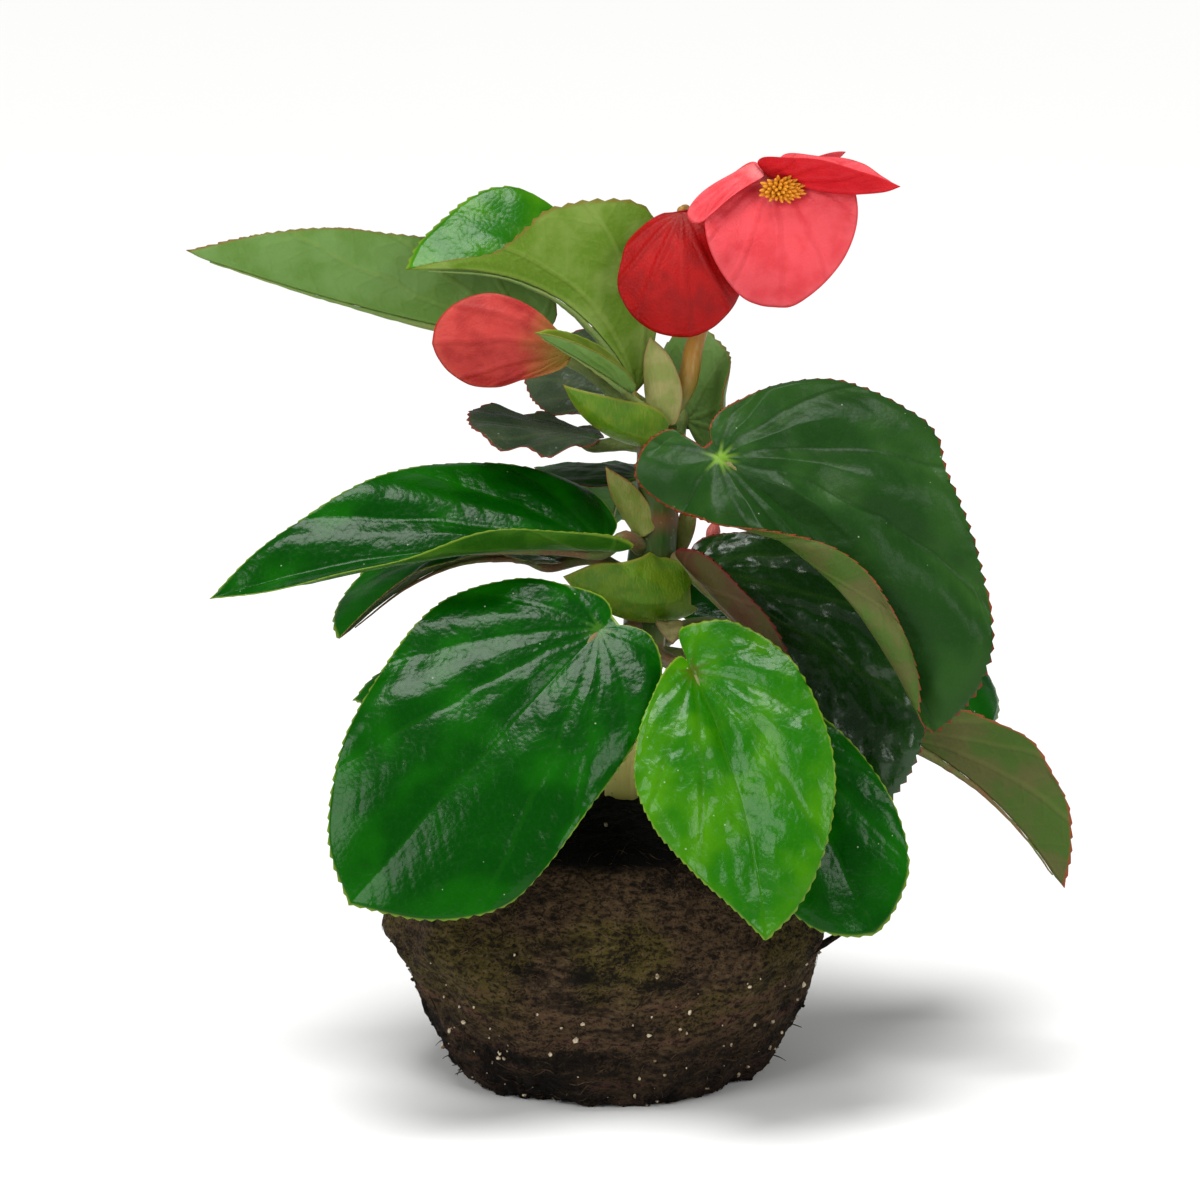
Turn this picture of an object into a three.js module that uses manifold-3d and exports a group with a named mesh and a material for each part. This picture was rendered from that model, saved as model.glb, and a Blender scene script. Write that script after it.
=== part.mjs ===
// A young begonia lifted out of its pot: a bare ball of peat and roots, one upright stem,
// thick lopsided leaves with toothed edges, papery stipules, and scarlet blooms at the top.
// Millimetres, +Z up. The origin is the middle of the flat underside of the root ball,
// +X is the plant's right and the front of the plant looks along -Y.
import * as THREE from "three";
import Module from "manifold-3d";

const wasm = await Module();
wasm.setup();

// Driving dimensions
const PIECE_GAP = 0.3; // clear distance between two pieces that touch on the plant
const LEAF_THICKNESS = 0.9;
const TEPAL_THICKNESS = 0.9;
const STIPULE_THICKNESS = 0.8;
const PETIOLE_RADIUS = 1.7;
const MIDRIB_RADIUS = 0.9; // ridge under a leaf, where the petiole runs on into the blade
const RIDGE_TIP = 0.45; // radius where the ridge has sunk into the blade
const TOOTH_DEPTH = 0.9;
const PETIOLE_FLARE = 1.25; // its thickness where it leaves the stem, against that of its middle
const PETIOLE_TAPER = 0.9; // the same where it meets the blade
const PETIOLE_SINK = 0.7; // depth of its middle line under the blade, in radii
const LEAF_RAYS = 40; // spokes from the stalk to the edge of a leaf, two to a tooth
const TEPAL_RAYS = 20;
const STIPULE_RAYS = 16;
const FIRST_SPOKE = 1.5; // where the first spoke meets the edge, counted in spokes from the stalk
// Rings across a blade: the share of the way to the edge, and every how many spokes has a point.
const BLADE_RINGS = [[0.22, 4], [0.5, 2], [0.78, 2], [1, 1]];

// The root ball, from the underside up: radius at each height.
const BALL_PROFILE = [
  [33, 0],
  [37, 2],
  [41, 8],
  [44.5, 16],
  [46.5, 23],
  [48.5, 29],
  [50, 33.5],
  [48.5, 39],
  [46.5, 45],
  [43.5, 52],
  [39.5, 57],
  [33, 60.5],
  [22, 62],
  [10, 62.8],
];
const BALL_TOP = 63;
const BALL_SIDES = 30;
// Lumps of the ball: share of the radius, number round the ball, turns up its height, start angle.
const BALL_LUMPS = [
  [0.03, 1, -0.5, 1.9],
  [0.018, 3, 0.6, 0.4],
  [0.014, 5, -1.1, 2.1],
  [0.012, 9, 1.7, 4.0],
  [0.008, 14, -2.3, 1.2],
];
const ROOT_TWIG = { path: [[44, -8, 27], [50, -9.5, 30.5], [54.8, -10, 33.5]], radii: [1.6, 1.2, 0.7] };

// The stem rises from the ball and swells at each leaf joint.
const STEM_PATH = [
  [4.3, 0, 44],
  [4.3, 0, 63],
  [6.2, -0.5, 82],
  [9.2, -0.5, 100],
  [10.8, 0, 116],
  [12, 1, 133],
  [12.2, 1.6, 149],
];
const STEM_RADII = [4.1, 4.1, 4.3, 4.9, 5.6, 4.8, 4.4];

// Leaves. at, mid and tip are points of the midrib, up and upTip the way the upper face
// looks at the stalk and at the tip. left and right are points of the edge on each side:
// how far along the midrib, and how far out from it, as shares of the midrib's length.
// fold is the angle at which a half stands up from the midrib, and curl is how far it has
// turned by its edge, each at the stalk and at the tip, in degrees.
const LEAVES = {
  leaf_upper_right: {
    at: [25.8, -24, 146], mid: [53.5, -35.5, 122], tip: [73.5, -36, 86],
    up: [0.1, -0.85, 0.5], upTip: [-0.1, -0.95, 0.3],
    left: [
      [-0.07, 0.045], [-0.09, 0.09], [-0.08, 0.155], [-0.02, 0.28], [0.11, 0.41], [0.28, 0.47],
      [0.37, 0.47], [0.46, 0.41], [0.64, 0.345], [0.84, 0.255], [0.94, 0.15],
    ],
    right: [
      [-0.1, 0], [-0.17, 0.005], [-0.2, 0.08], [-0.17, 0.18], [-0.07, 0.2],
      [0.06, 0.18], [0.22, 0.2], [0.45, 0.2], [0.65, 0.17], [0.85, 0.1],
    ],
    foldLeft: [4, 4], foldRight: [8, 8], curlLeft: [-20, -15], curlRight: [-50, 450],
    wave: 0.8, waves: 4, phase: 0, color: 0x1f4a24,
    petiole: [[12, -2, 143], [17, -12, 142]],
  },
  leaf_front_left: {
    at: [-0.7, -30, 108.6], mid: [-27, -50, 84], tip: [-55.4, -60, 53.8],
    up: [-0.1, -0.85, 0.5], upTip: [-0.1, -0.95, 0.3],
    left: [
      [-0.05, 0.04], [-0.07, 0.12], [0, 0.21], [0.15, 0.27], [0.38, 0.3], [0.6, 0.32],
      [0.76, 0.3], [0.9, 0.18],
    ],
    right: [
      [-0.06, 0.005], [-0.085, 0.06], [-0.05, 0.15], [0.02, 0.27], [0.16, 0.37], [0.34, 0.385],
      [0.55, 0.35], [0.75, 0.28], [0.92, 0.15],
    ],
    foldLeft: [8, 6], foldRight: [8, 6], curlLeft: [-25, -25], curlRight: [-25, -20],
    wave: 0.7, waves: 4, phase: 1, color: 0x14571c,
    petiole: [[8, -2, 104], [3, -18, 104]],
  },
  leaf_front_middle: {
    at: [19.7, -38, 101], mid: [30, -56, 76], tip: [35.2, -67, 47.5],
    up: [0, -0.85, 0.5], upTip: [0, -0.98, 0.2],
    left: [
      [-0.16, 0.015], [-0.15, 0.1], [-0.08, 0.22], [0.1, 0.33], [0.3, 0.36],
      [0.5, 0.34], [0.7, 0.26], [0.88, 0.14],
    ],
    right: [
      [-0.07, 0.015], [-0.04, 0.08], [0.04, 0.17], [0.16, 0.27], [0.33, 0.34], [0.52, 0.32],
      [0.72, 0.22], [0.9, 0.08],
    ],
    foldLeft: [28, 10], foldRight: [30, 8], curlLeft: [-40, -15], curlRight: [-45, -10],
    wave: 0.6, waves: 5, phase: 2, color: 0x3f8a1c,
    petiole: [[10, -2, 98], [16, -22, 99]],
  },
  leaf_middle_left: {
    at: [0, -12, 123.5], mid: [-44, -22, 124], tip: [-87.3, -26, 114.8],
    up: [-0.05, -0.55, 0.85], upTip: [-0.1, -0.8, 0.6],
    left: [[-0.04, 0.04], [-0.05, 0.09], [0.05, 0.13], [0.25, 0.16], [0.5, 0.14], [0.75, 0.08]],
    right: [
      [-0.03, 0.04], [-0.05, 0.1], [0, 0.22], [0.15, 0.28], [0.38, 0.3], [0.58, 0.22],
      [0.8, 0.12],
    ],
    foldLeft: [25, 25], foldRight: [12, 10], curlLeft: [90, 40], curlRight: [-30, -20],
    wave: 1.2, waves: 3, phase: 0, color: 0x15511f,
    petiole: [[10, -1, 120], [5, -8, 125]],
  },
  leaf_top_left: {
    at: [-16, 16, 166], mid: [-55, 12.5, 175], tip: [-94, 8, 188],
    up: [-0.2, 0, 1], upTip: [-0.3, 0.1, 0.9],
    left: [[-0.05, 0.08], [-0.02, 0.16], [0.1, 0.22], [0.3, 0.24], [0.55, 0.22], [0.8, 0.13]],
    right: [[-0.05, 0.06], [-0.02, 0.12], [0.1, 0.17], [0.3, 0.21], [0.55, 0.21], [0.8, 0.13]],
    foldLeft: [62, 68], foldRight: [60, 66], curlLeft: [15, 10], curlRight: [15, 10],
    wave: 0.4, waves: 3, phase: 0, color: 0x6f9a55,
    petiole: [[11, 3, 148], [-4, 13.5, 160]],
  },
  leaf_top_middle: {
    at: [7.4, 2, 157], mid: [-12.3, -1, 180], tip: [-44.3, -2, 185],
    up: [0.5, 0.1, 0.8], upTip: [0.1, 0.1, 0.98],
    left: [
      [0.02, 0.06], [0.11, 0.14], [0.22, 0.26], [0.32, 0.38], [0.4, 0.43], [0.49, 0.38],
      [0.56, 0.32], [0.62, 0.25], [0.67, 0.14], [0.74, 0.06], [0.86, 0.03],
    ],
    right: [
      [0.05, 0.08], [0.2, 0.18], [0.4, 0.28], [0.56, 0.34], [0.68, 0.37], [0.76, 0.35],
      [0.84, 0.28], [0.91, 0.18], [0.97, 0.09],
    ],
    foldLeft: [90, 75], foldRight: [56, 52], curlLeft: [10, 0], curlRight: [0, 0],
    wave: 0.3, waves: 3, phase: 0, color: 0x7fa84a,
    petiole: [[12, 1, 149], [9.9, 1.6, 152.8]],
  },
  leaf_lower_right: {
    at: [36, -36, 84], mid: [48, -45, 67], tip: [60, -51, 44.5],
    up: [0, -0.9, 0.4], upTip: [0.1, -0.98, 0.1],
    left: [
      [-0.08, 0.1], [-0.04, 0.24], [0.15, 0.32], [0.4, 0.35], [0.62, 0.34],
      [0.82, 0.27], [0.95, 0.12],
    ],
    right: [
      [-0.08, 0.1], [-0.04, 0.26], [0.15, 0.36], [0.4, 0.38], [0.65, 0.34],
      [0.86, 0.25], [0.96, 0.12],
    ],
    foldLeft: [6, 6], foldRight: [6, 6], curlLeft: [-25, -15], curlRight: [-25, -15],
    wave: 0.5, waves: 4, phase: 1, color: 0x17481f,
    petiole: [[7.5, -1, 88], [22, -20, 90]],
  },
  leaf_far_right: {
    at: [68, -6, 78.9], mid: [88.8, -7, 65], tip: [105.5, -8, 43.5],
    up: [0.8, 0.25, 0.55], upTip: [0.95, 0.2, 0.3],
    left: [[0.02, 0.05], [0.15, 0.1], [0.35, 0.16], [0.55, 0.18], [0.75, 0.15], [0.9, 0.09]],
    right: [
      [0.02, 0.08], [0.08, 0.16], [0.17, 0.23], [0.31, 0.28], [0.48, 0.295], [0.64, 0.255],
      [0.77, 0.2], [0.89, 0.115],
    ],
    foldLeft: [60, 60], foldRight: [60, 60], curlLeft: [10, 10], curlRight: [10, 10],
    wave: 0.4, waves: 4, phase: 0, color: 0x5d6a30,
    petiole: [[9, 0, 97], [40, -1, 92]],
  },
  leaf_inner_right: {
    at: [20, -6, 117], mid: [46, -18, 90], tip: [63, -22, 65],
    up: [0.2, -0.8, 0.55], upTip: [0.1, -0.95, 0.3],
    left: [
      [-0.06, 0.06], [-0.04, 0.16], [0.08, 0.3], [0.3, 0.42], [0.55, 0.4],
      [0.78, 0.29], [0.93, 0.13],
    ],
    right: [[-0.06, 0.05], [-0.05, 0.12], [0.08, 0.18], [0.3, 0.2], [0.55, 0.17], [0.8, 0.1]],
    foldLeft: [5, 5], foldRight: [50, 30], curlLeft: [-10, -10], curlRight: [110, 60],
    wave: 1, waves: 5, phase: 0, color: 0x1c3a22,
    petiole: [[11, 0, 116], [16, -2, 119]],
  },
  leaf_under_left: {
    at: [-12, 2, 118], mid: [-36, 2, 117], tip: [-60.2, -6, 101],
    up: [-0.3, 0.15, 0.9], upTip: [-0.75, -0.2, 0.55],
    left: [[-0.06, 0.08], [-0.03, 0.2], [0.12, 0.32], [0.35, 0.34], [0.6, 0.28], [0.82, 0.15]],
    right: [
      [-0.06, 0.08], [-0.03, 0.2], [0.12, 0.35], [0.35, 0.41], [0.6, 0.38], [0.82, 0.27],
      [0.95, 0.13],
    ],
    foldLeft: [10, 20], foldRight: [10, 20], curlLeft: [-20, 0], curlRight: [-20, 0],
    wave: 0.5, waves: 3, phase: 0, color: 0x5a5a3a,
    petiole: [[9, 1, 112], [-2, 3, 118]],
  },
  leaf_thin_left: {
    at: [-2, 6, 145], mid: [-16, 7, 147.5], tip: [-31, 6, 149.5],
    up: [0, 0, 1], upTip: [-0.1, -0.25, 0.95],
    left: [[-0.06, 0.12], [0, 0.3], [0.2, 0.48], [0.5, 0.5], [0.8, 0.42], [0.96, 0.24]],
    right: [[-0.06, 0.12], [0, 0.25], [0.2, 0.36], [0.5, 0.38], [0.8, 0.34], [0.96, 0.2]],
    foldLeft: [15, 10], foldRight: [10, 5], curlLeft: [-40, -30], curlRight: [-20, -10],
    wave: 1.2, waves: 4, phase: 0, color: 0x3f4f45,
    petiole: [[12, 2, 144], [5, 6, 144]],
  },
  leaf_back_left: {
    at: [3, 21, 152], mid: [-6, 32, 157.5], tip: [-16.5, 44, 158.5],
    up: [-0.2, -0.5, 0.8], upTip: [-0.5, -0.2, 0.7],
    left: [[-0.06, 0.12], [0, 0.3], [0.2, 0.45], [0.5, 0.45], [0.8, 0.3]],
    right: [[-0.06, 0.12], [0, 0.28], [0.2, 0.42], [0.5, 0.42], [0.8, 0.28]],
    foldLeft: [12, 10], foldRight: [12, 10], curlLeft: [-20, -20], curlRight: [-20, -20],
    wave: 0.6, waves: 4, phase: 1, color: 0x2c4434,
    petiole: [[12, 3, 143], [6, 14, 149]],
  },
  leaf_back_right: {
    at: [19, 14, 148], mid: [19, 17, 160], tip: [22, 21, 171],
    up: [0.6, 0.7, 0.2], upTip: [0.6, 0.7, 0.2],
    left: [[-0.28, 0.12], [-0.26, 0.45], [0, 0.8], [0.32, 0.86], [0.6, 0.57], [0.82, 0.26]],
    right: [[-0.3, 0.15], [-0.28, 0.45], [0, 0.72], [0.35, 0.78], [0.65, 0.55], [0.86, 0.25]],
    foldLeft: [35, 30], foldRight: [20, 20], curlLeft: [-110, -90], curlRight: [0, 0],
    wave: 0.5, waves: 4, phase: 0, color: 0x55783f,
    petiole: [[12, 3, 142], [16, 11, 143]],
  },
  leaf_back_lower_left: {
    at: [-14, 15, 88], mid: [-36, 20, 86], tip: [-58.5, 24, 80],
    up: [-0.3, -0.1, 0.9], upTip: [-0.6, -0.2, 0.7],
    left: [[-0.06, 0.1], [-0.02, 0.26], [0.15, 0.38], [0.4, 0.4], [0.65, 0.34], [0.86, 0.2]],
    right: [[-0.06, 0.1], [-0.02, 0.26], [0.15, 0.38], [0.4, 0.4], [0.65, 0.34], [0.86, 0.2]],
    foldLeft: [10, 8], foldRight: [10, 8], curlLeft: [-20, -20], curlRight: [-20, -20],
    wave: 0.8, waves: 4, phase: 2, color: 0x1f4a24,
    petiole: [[6.5, 1, 84], [-5, 11, 89]],
  },
  leaf_back_lower_right: {
    at: [34, 18, 100], mid: [66, 24, 96], tip: [90.7, 27, 70.4],
    up: [0.2, -0.3, 0.9], upTip: [0.6, -0.4, 0.6],
    left: [
      [-0.18, 0.06], [-0.22, 0.2], [-0.1, 0.33], [0.15, 0.38], [0.4, 0.36], [0.62, 0.29],
      [0.78, 0.22], [0.9, 0.21], [0.97, 0.15],
    ],
    right: [
      [-0.12, 0.06], [-0.16, 0.18], [-0.06, 0.3], [0.15, 0.38], [0.4, 0.4], [0.65, 0.36],
      [0.84, 0.27], [0.96, 0.13],
    ],
    foldLeft: [10, 8], foldRight: [10, 8], curlLeft: [-20, -20], curlRight: [-20, -20],
    wave: 0.5, waves: 4, phase: 0, color: 0x1f4a24,
    petiole: [[8.5, 1, 95], [20, 14, 100]],
  },
  leaf_back_middle: {
    at: [9, 28, 132], mid: [6, 52, 130], tip: [2, 76, 111],
    up: [-0.1, 0.2, 0.95], upTip: [0, 0.7, 0.7],
    left: [[-0.06, 0.1], [-0.04, 0.24], [0.12, 0.38], [0.36, 0.42], [0.62, 0.36], [0.86, 0.2]],
    right: [[-0.06, 0.1], [-0.04, 0.24], [0.12, 0.36], [0.36, 0.38], [0.62, 0.32], [0.86, 0.18]],
    foldLeft: [10, 8], foldRight: [10, 8], curlLeft: [-25, -20], curlRight: [-25, -20],
    wave: 0.8, waves: 4, phase: 1, color: 0x1d5423,
    petiole: [[11.5, 2, 126], [11, 17, 133]],
  },
  leaf_young: {
    at: [6.5, -4.5, 157.5], mid: [-3, -13.5, 165.5], tip: [-15, -20, 173.5],
    up: [0.4, -0.3, 0.9], upTip: [0.4, -0.3, 0.9],
    left: [[0.1, 0.1], [0.4, 0.16], [0.7, 0.14], [0.9, 0.08]],
    right: [[0.1, 0.1], [0.4, 0.16], [0.7, 0.14], [0.9, 0.08]],
    foldLeft: [50, 55], foldRight: [50, 40], curlLeft: [10, 10], curlRight: [10, 10],
    wave: 0, waves: 1, phase: 0, color: 0x93a83a, petioleRadius: 1.1, toothDepth: 0.4,
    petiole: [[12, 0, 148.5], [10, -3, 153]],
  },
};

// Blooms: each tepal is a blade like a leaf, without teeth.
const TEPALS = {
  open_bloom: [
    {
      at: [37.5, -6, 205.5], mid: [39.2, -12, 192.5], tip: [38.8, -10, 177.6],
      up: [0, -1, 0.1], upTip: [0, -0.9, -0.3],
      left: [
        [-0.18, 0.12], [-0.1, 0.33], [0.03, 0.52], [0.2, 0.6], [0.38, 0.6], [0.57, 0.51],
        [0.77, 0.35], [0.92, 0.19], [0.985, 0.09],
      ],
      right: [
        [-0.18, 0.1], [-0.1, 0.28], [0.03, 0.42], [0.2, 0.54], [0.38, 0.57], [0.57, 0.53],
        [0.77, 0.42], [0.92, 0.28], [0.985, 0.13],
      ],
      foldLeft: [8, 6], foldRight: [8, 6], curlLeft: [15, 15], curlRight: [15, 15],
      wave: 0.4, waves: 2, phase: 0,
    },
    {
      at: [36.5, -6, 206.6], mid: [52, -16, 204.2], tip: [64.8, -24, 206.4],
      up: [0, 0, 1], upTip: [0, 0, 1],
      left: [[-0.06, 0.12], [0.05, 0.24], [0.3, 0.33], [0.55, 0.28], [0.78, 0.16], [0.92, 0.06]],
      right: [[-0.06, 0.1], [0.05, 0.2], [0.3, 0.25], [0.6, 0.24], [0.85, 0.13]],
      foldLeft: [28, 28], foldRight: [50, 50], curlLeft: [10, 10], curlRight: [10, 10],
      wave: 0.3, waves: 2, phase: 0,
    },
    {
      at: [34.6, -7, 208], mid: [25.8, -11, 203.7], tip: [19.4, -13, 197.1],
      up: [-0.5, -0.8, 0.5], upTip: [-0.5, -0.8, 0.5],
      left: [[0.03, 0.14], [0.3, 0.19], [0.65, 0.21], [0.88, 0.17], [0.975, 0.09]],
      right: [[0.03, 0.1], [0.3, 0.1], [0.65, 0.13], [0.88, 0.12], [0.975, 0.07]],
      foldLeft: [5, 5], foldRight: [5, 5], curlLeft: [20, 20], curlRight: [20, 20],
      wave: 0, waves: 1, phase: 0,
    },
    {
      at: [38.5, -4, 205.4], mid: [46.3, -2, 208.4], tip: [54, -1, 211.2],
      up: [-0.2, -0.8, -0.5], upTip: [-0.2, -0.8, -0.5],
      left: [[0.05, 0.08], [0.35, 0.12], [0.7, 0.1], [0.9, 0.05]],
      right: [[0.05, 0.08], [0.35, 0.12], [0.7, 0.1], [0.9, 0.05]],
      foldLeft: [5, 5], foldRight: [5, 5], curlLeft: [20, 20], curlRight: [20, 20],
      wave: 0, waves: 1, phase: 0,
    },
  ],
  closed_bloom: [
    {
      at: [17.3, -5.6, 198], mid: [18, -12, 186], tip: [19, -9, 170.8],
      up: [0, 1, 0.1], upTip: [0, 1, -0.2],
      left: [
        [-0.03, 0.14], [0.04, 0.3], [0.17, 0.44], [0.36, 0.5], [0.54, 0.54], [0.7, 0.53],
        [0.86, 0.44], [0.96, 0.28], [0.995, 0.12],
      ],
      right: [
        [-0.03, 0.15], [0.05, 0.3], [0.3, 0.48], [0.55, 0.5], [0.8, 0.4], [0.94, 0.24],
        [0.99, 0.1],
      ],
      foldLeft: [5, 5], foldRight: [5, 5], curlLeft: [30, 30], curlRight: [30, 30],
      wave: 0.3, waves: 2, phase: 0,
    },
    {
      at: [17.3, -4.6, 198], mid: [19, -2.5, 187], tip: [20.5, -6, 172.5],
      up: [0, -1, 0.1], upTip: [0, -1, -0.2],
      left: [[-0.03, 0.15], [0.05, 0.3], [0.3, 0.46], [0.55, 0.47], [0.8, 0.36], [0.94, 0.19]],
      right: [[-0.03, 0.13], [0.05, 0.29], [0.3, 0.46], [0.55, 0.5], [0.8, 0.42], [0.94, 0.24]],
      foldLeft: [5, 5], foldRight: [5, 5], curlLeft: [15, 15], curlRight: [15, 15],
      wave: 0.3, waves: 2, phase: 1,
    },
  ],
  side_bloom: [
    {
      at: [-6.5, -8.4, 167.5], mid: [-21, -14, 171], tip: [-38, -13, 170],
      up: [0.1, 1, 0.1], upTip: [-0.2, 1, 0],
      left: [[0.03, 0.04], [0.2, 0.12], [0.4, 0.25], [0.62, 0.31], [0.82, 0.26], [0.95, 0.14]],
      right: [
        [0.02, 0.12], [0.2, 0.24], [0.45, 0.35], [0.62, 0.37], [0.8, 0.34], [0.93, 0.23],
        [0.985, 0.11],
      ],
      foldLeft: [5, 5], foldRight: [5, 5], curlLeft: [25, 25], curlRight: [25, 25],
      wave: 0.2, waves: 2, phase: 0,
    },
    {
      at: [-6.5, -7.6, 167.5], mid: [-20, -6.5, 170.5], tip: [-35, -9.5, 170.5],
      up: [0.1, -1, 0.1], upTip: [-0.2, -1, 0],
      left: [
        [0.02, 0.14], [0.2, 0.26], [0.45, 0.34], [0.62, 0.35], [0.8, 0.32], [0.93, 0.21],
        [0.985, 0.11],
      ],
      right: [[0.03, 0.04], [0.2, 0.12], [0.4, 0.23], [0.65, 0.27], [0.85, 0.2], [0.96, 0.1]],
      foldLeft: [5, 5], foldRight: [5, 5], curlLeft: [15, 15], curlRight: [15, 15],
      wave: 0.2, waves: 2, phase: 1,
    },
  ],
};
const TEPAL_COLORS = { open_bloom: 0xe8475a, closed_bloom: 0xb8142a, side_bloom: 0xc9333f };

// Stipules: the papery scales that wrap the stem where leaves leave it.
const STIPULES = {
  stipule_top: {
    at: [13.5, -4.6, 146.8], mid: [2.5, -8.5, 150.5], tip: [-9, -8, 160],
    up: [0.1, 0.9, 0.5], upTip: [0.1, 0.9, 0.5],
    left: [[0, 0.2], [0.3, 0.28], [0.7, 0.18]],
    right: [[0, 0.18], [0.3, 0.24], [0.7, 0.16]],
    foldLeft: [10, 10], foldRight: [10, 10], curlLeft: [50, 50], curlRight: [40, 40],
    wave: 0, waves: 1, phase: 0, color: 0x9db465,
  },
  stipule_upright: {
    at: [13.6, -3.9, 150], mid: [12.6, -3.9, 160], tip: [10.5, -3.2, 170],
    up: [0, 1, 0], upTip: [0, 1, 0],
    left: [[0.02, 0.14], [0.35, 0.24], [0.75, 0.16]],
    right: [[0.02, 0.14], [0.35, 0.2], [0.75, 0.14]],
    foldLeft: [5, 5], foldRight: [10, 10], curlLeft: [10, 10], curlRight: [30, 30],
    wave: 0, waves: 1, phase: 0, color: 0xb3bd7a,
  },
  stipule_middle: {
    at: [17, -10, 111], mid: [5, -15, 112], tip: [-9, -14.5, 117.5],
    up: [0.1, 1, 0], upTip: [0.1, 1, 0],
    left: [[-0.2, 0.15], [-0.12, 0.34], [0.12, 0.45], [0.38, 0.38], [0.6, 0.3], [0.84, 0.2]],
    right: [[-0.2, 0.12], [-0.1, 0.22], [0.2, 0.22], [0.5, 0.18], [0.8, 0.1]],
    foldLeft: [10, 10], foldRight: [10, 10], curlLeft: [50, 30], curlRight: [50, 30],
    wave: 0, waves: 1, phase: 0, color: 0x7fa83a,
  },
  stipule_dry: {
    at: [14.5, -10, 106], mid: [15, -17, 105.5], tip: [15.5, -24, 104],
    up: [0, -0.3, 1], upTip: [0, -0.3, 1],
    left: [[0.05, 0.14], [0.4, 0.24], [0.75, 0.14]],
    right: [[0.05, 0.14], [0.4, 0.24], [0.75, 0.14]],
    foldLeft: [10, 10], foldRight: [10, 10], curlLeft: [30, 30], curlRight: [30, 30],
    wave: 0, waves: 1, phase: 0, color: 0xa89a68,
  },
  stipule_sheath: {
    at: [9.5, -5.4, 125], mid: [5.6, -5, 131.5], tip: [0.5, -3.5, 140.5],
    up: [0, 1, 0.1], upTip: [0, 1, 0.1],
    left: [[0.02, 0.16], [0.3, 0.26], [0.7, 0.2]],
    right: [[0.02, 0.1], [0.3, 0.14], [0.7, 0.14]],
    foldLeft: [10, 10], foldRight: [10, 10], curlLeft: [30, 30], curlRight: [30, 30],
    wave: 0, waves: 1, phase: 0, color: 0x8fa283,
  },
  stipule_side: {
    at: [17, 3.5, 119], mid: [19, 4, 126], tip: [20.5, 4, 134],
    up: [0, 1, 0], upTip: [0, 1, 0],
    left: [[0.05, 0.1], [0.4, 0.16], [0.75, 0.1]],
    right: [[0.05, 0.1], [0.4, 0.16], [0.75, 0.1]],
    foldLeft: [10, 10], foldRight: [10, 10], curlLeft: [30, 30], curlRight: [30, 30],
    wave: 0, waves: 1, phase: 0, color: 0x9aa05a,
  },
};

// Flower stalks, each with the radii of its path, and the small bud low on the right.
const FLOWER_STALK = {
  path: [[13, 1, 150], [18.5, 1, 158], [21, 5, 168], [26, 8, 181], [32, 5, 195], [37.1, -4.1, 205]],
  radii: [2.5, 2.3, 1.9, 1.7, 1.5, 1.3],
};
const FLOWER_BRANCH = {
  path: [[23, 6.4, 173.5], [22, 8.4, 187], [19, 1.5, 197.5], [17.3, -4.8, 198.6]],
  radii: [1.4, 1.1, 1, 0.9],
};
const SIDE_STALK = { path: [[11, 0, 150], [2.5, -0.5, 161], [-6, -7.6, 167.7]], radii: [1.4, 1.2, 1] };
const BUD_STALK = { path: [[12, 1, 117], [19, 4, 116.5], [24, 4.5, 120.5]], radii: [1.3, 1, 0.7] };
const BUD = {
  path: [[24.3, 4.5, 121.2], [25, 4.5, 123.5], [25.7, 4.5, 126.6]],
  radii: [0.4, 1.5, 1.6, 1.3, 0.3],
};

// The stamens of the open bloom: a knob with a tuft of short clubs.
const STAMENS = {
  knob: { path: [[38.4, -7.2, 203.8], [38.9, -9.4, 204]], radii: [1.8, 2.3] },
  count: 13,
  rootRing: 1.8, // the outermost clubs stand this far from the middle of the knob
  spread: 5.2,
  flat: 0.6, // how much narrower the tuft is from top to bottom than from side to side
  reach: 5,
  dome: 2, // how much shorter the outermost clubs are
  radii: [0.35, 0.4, 0.75, 0.4],
};

const vec = (p) => new THREE.Vector3(...p);
const mix = THREE.MathUtils.lerp;
const radians = THREE.MathUtils.degToRad;

// Turns vertices and triangles into a solid for joining and cutting.
function solid(vertices, triangles) {
  return new wasm.Manifold(
    new wasm.Mesh({
      numProp: 3,
      vertProperties: new Float32Array(vertices.flatMap((v) => [v.x, v.y, v.z])),
      triVerts: new Uint32Array(triangles.flat()),
    }),
  );
}

// A blade's frame: its curved midrib, the way the face looks, and the two half outlines.
function bladeFrame(spec) {
  const [at, mid, tip] = [vec(spec.at), vec(spec.mid), vec(spec.tip)];
  const bend = mid.clone().multiplyScalar(2).sub(at.clone().add(tip).multiplyScalar(0.5));
  const half = (points) =>
    new THREE.SplineCurve([[0, 0], ...points, [1, 0]].map(([s, t]) => new THREE.Vector2(s, t)));
  const midrib = new THREE.QuadraticBezierCurve3(at, bend, tip);
  return {
    spec,
    midrib,
    length: midrib.getLength(),
    start: bend.clone().sub(at).normalize(),
    halves: { left: half(spec.left), right: half(spec.right) },
  };
}

// The midrib's point, direction, left and up at a share s of its length.
function station(frame, s) {
  const along = THREE.MathUtils.clamp(s, 0, 1);
  const point = frame.midrib.getPoint(along);
  const forward = frame.midrib.getTangent(along).normalize();
  point.addScaledVector(frame.start, Math.min(s, 0) * frame.length);
  const look = vec(frame.spec.up).normalize().lerp(vec(frame.spec.upTip).normalize(), along);
  const left = look.cross(forward).normalize();
  const up = forward.clone().cross(left);
  return { point, left, up, along };
}

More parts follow.
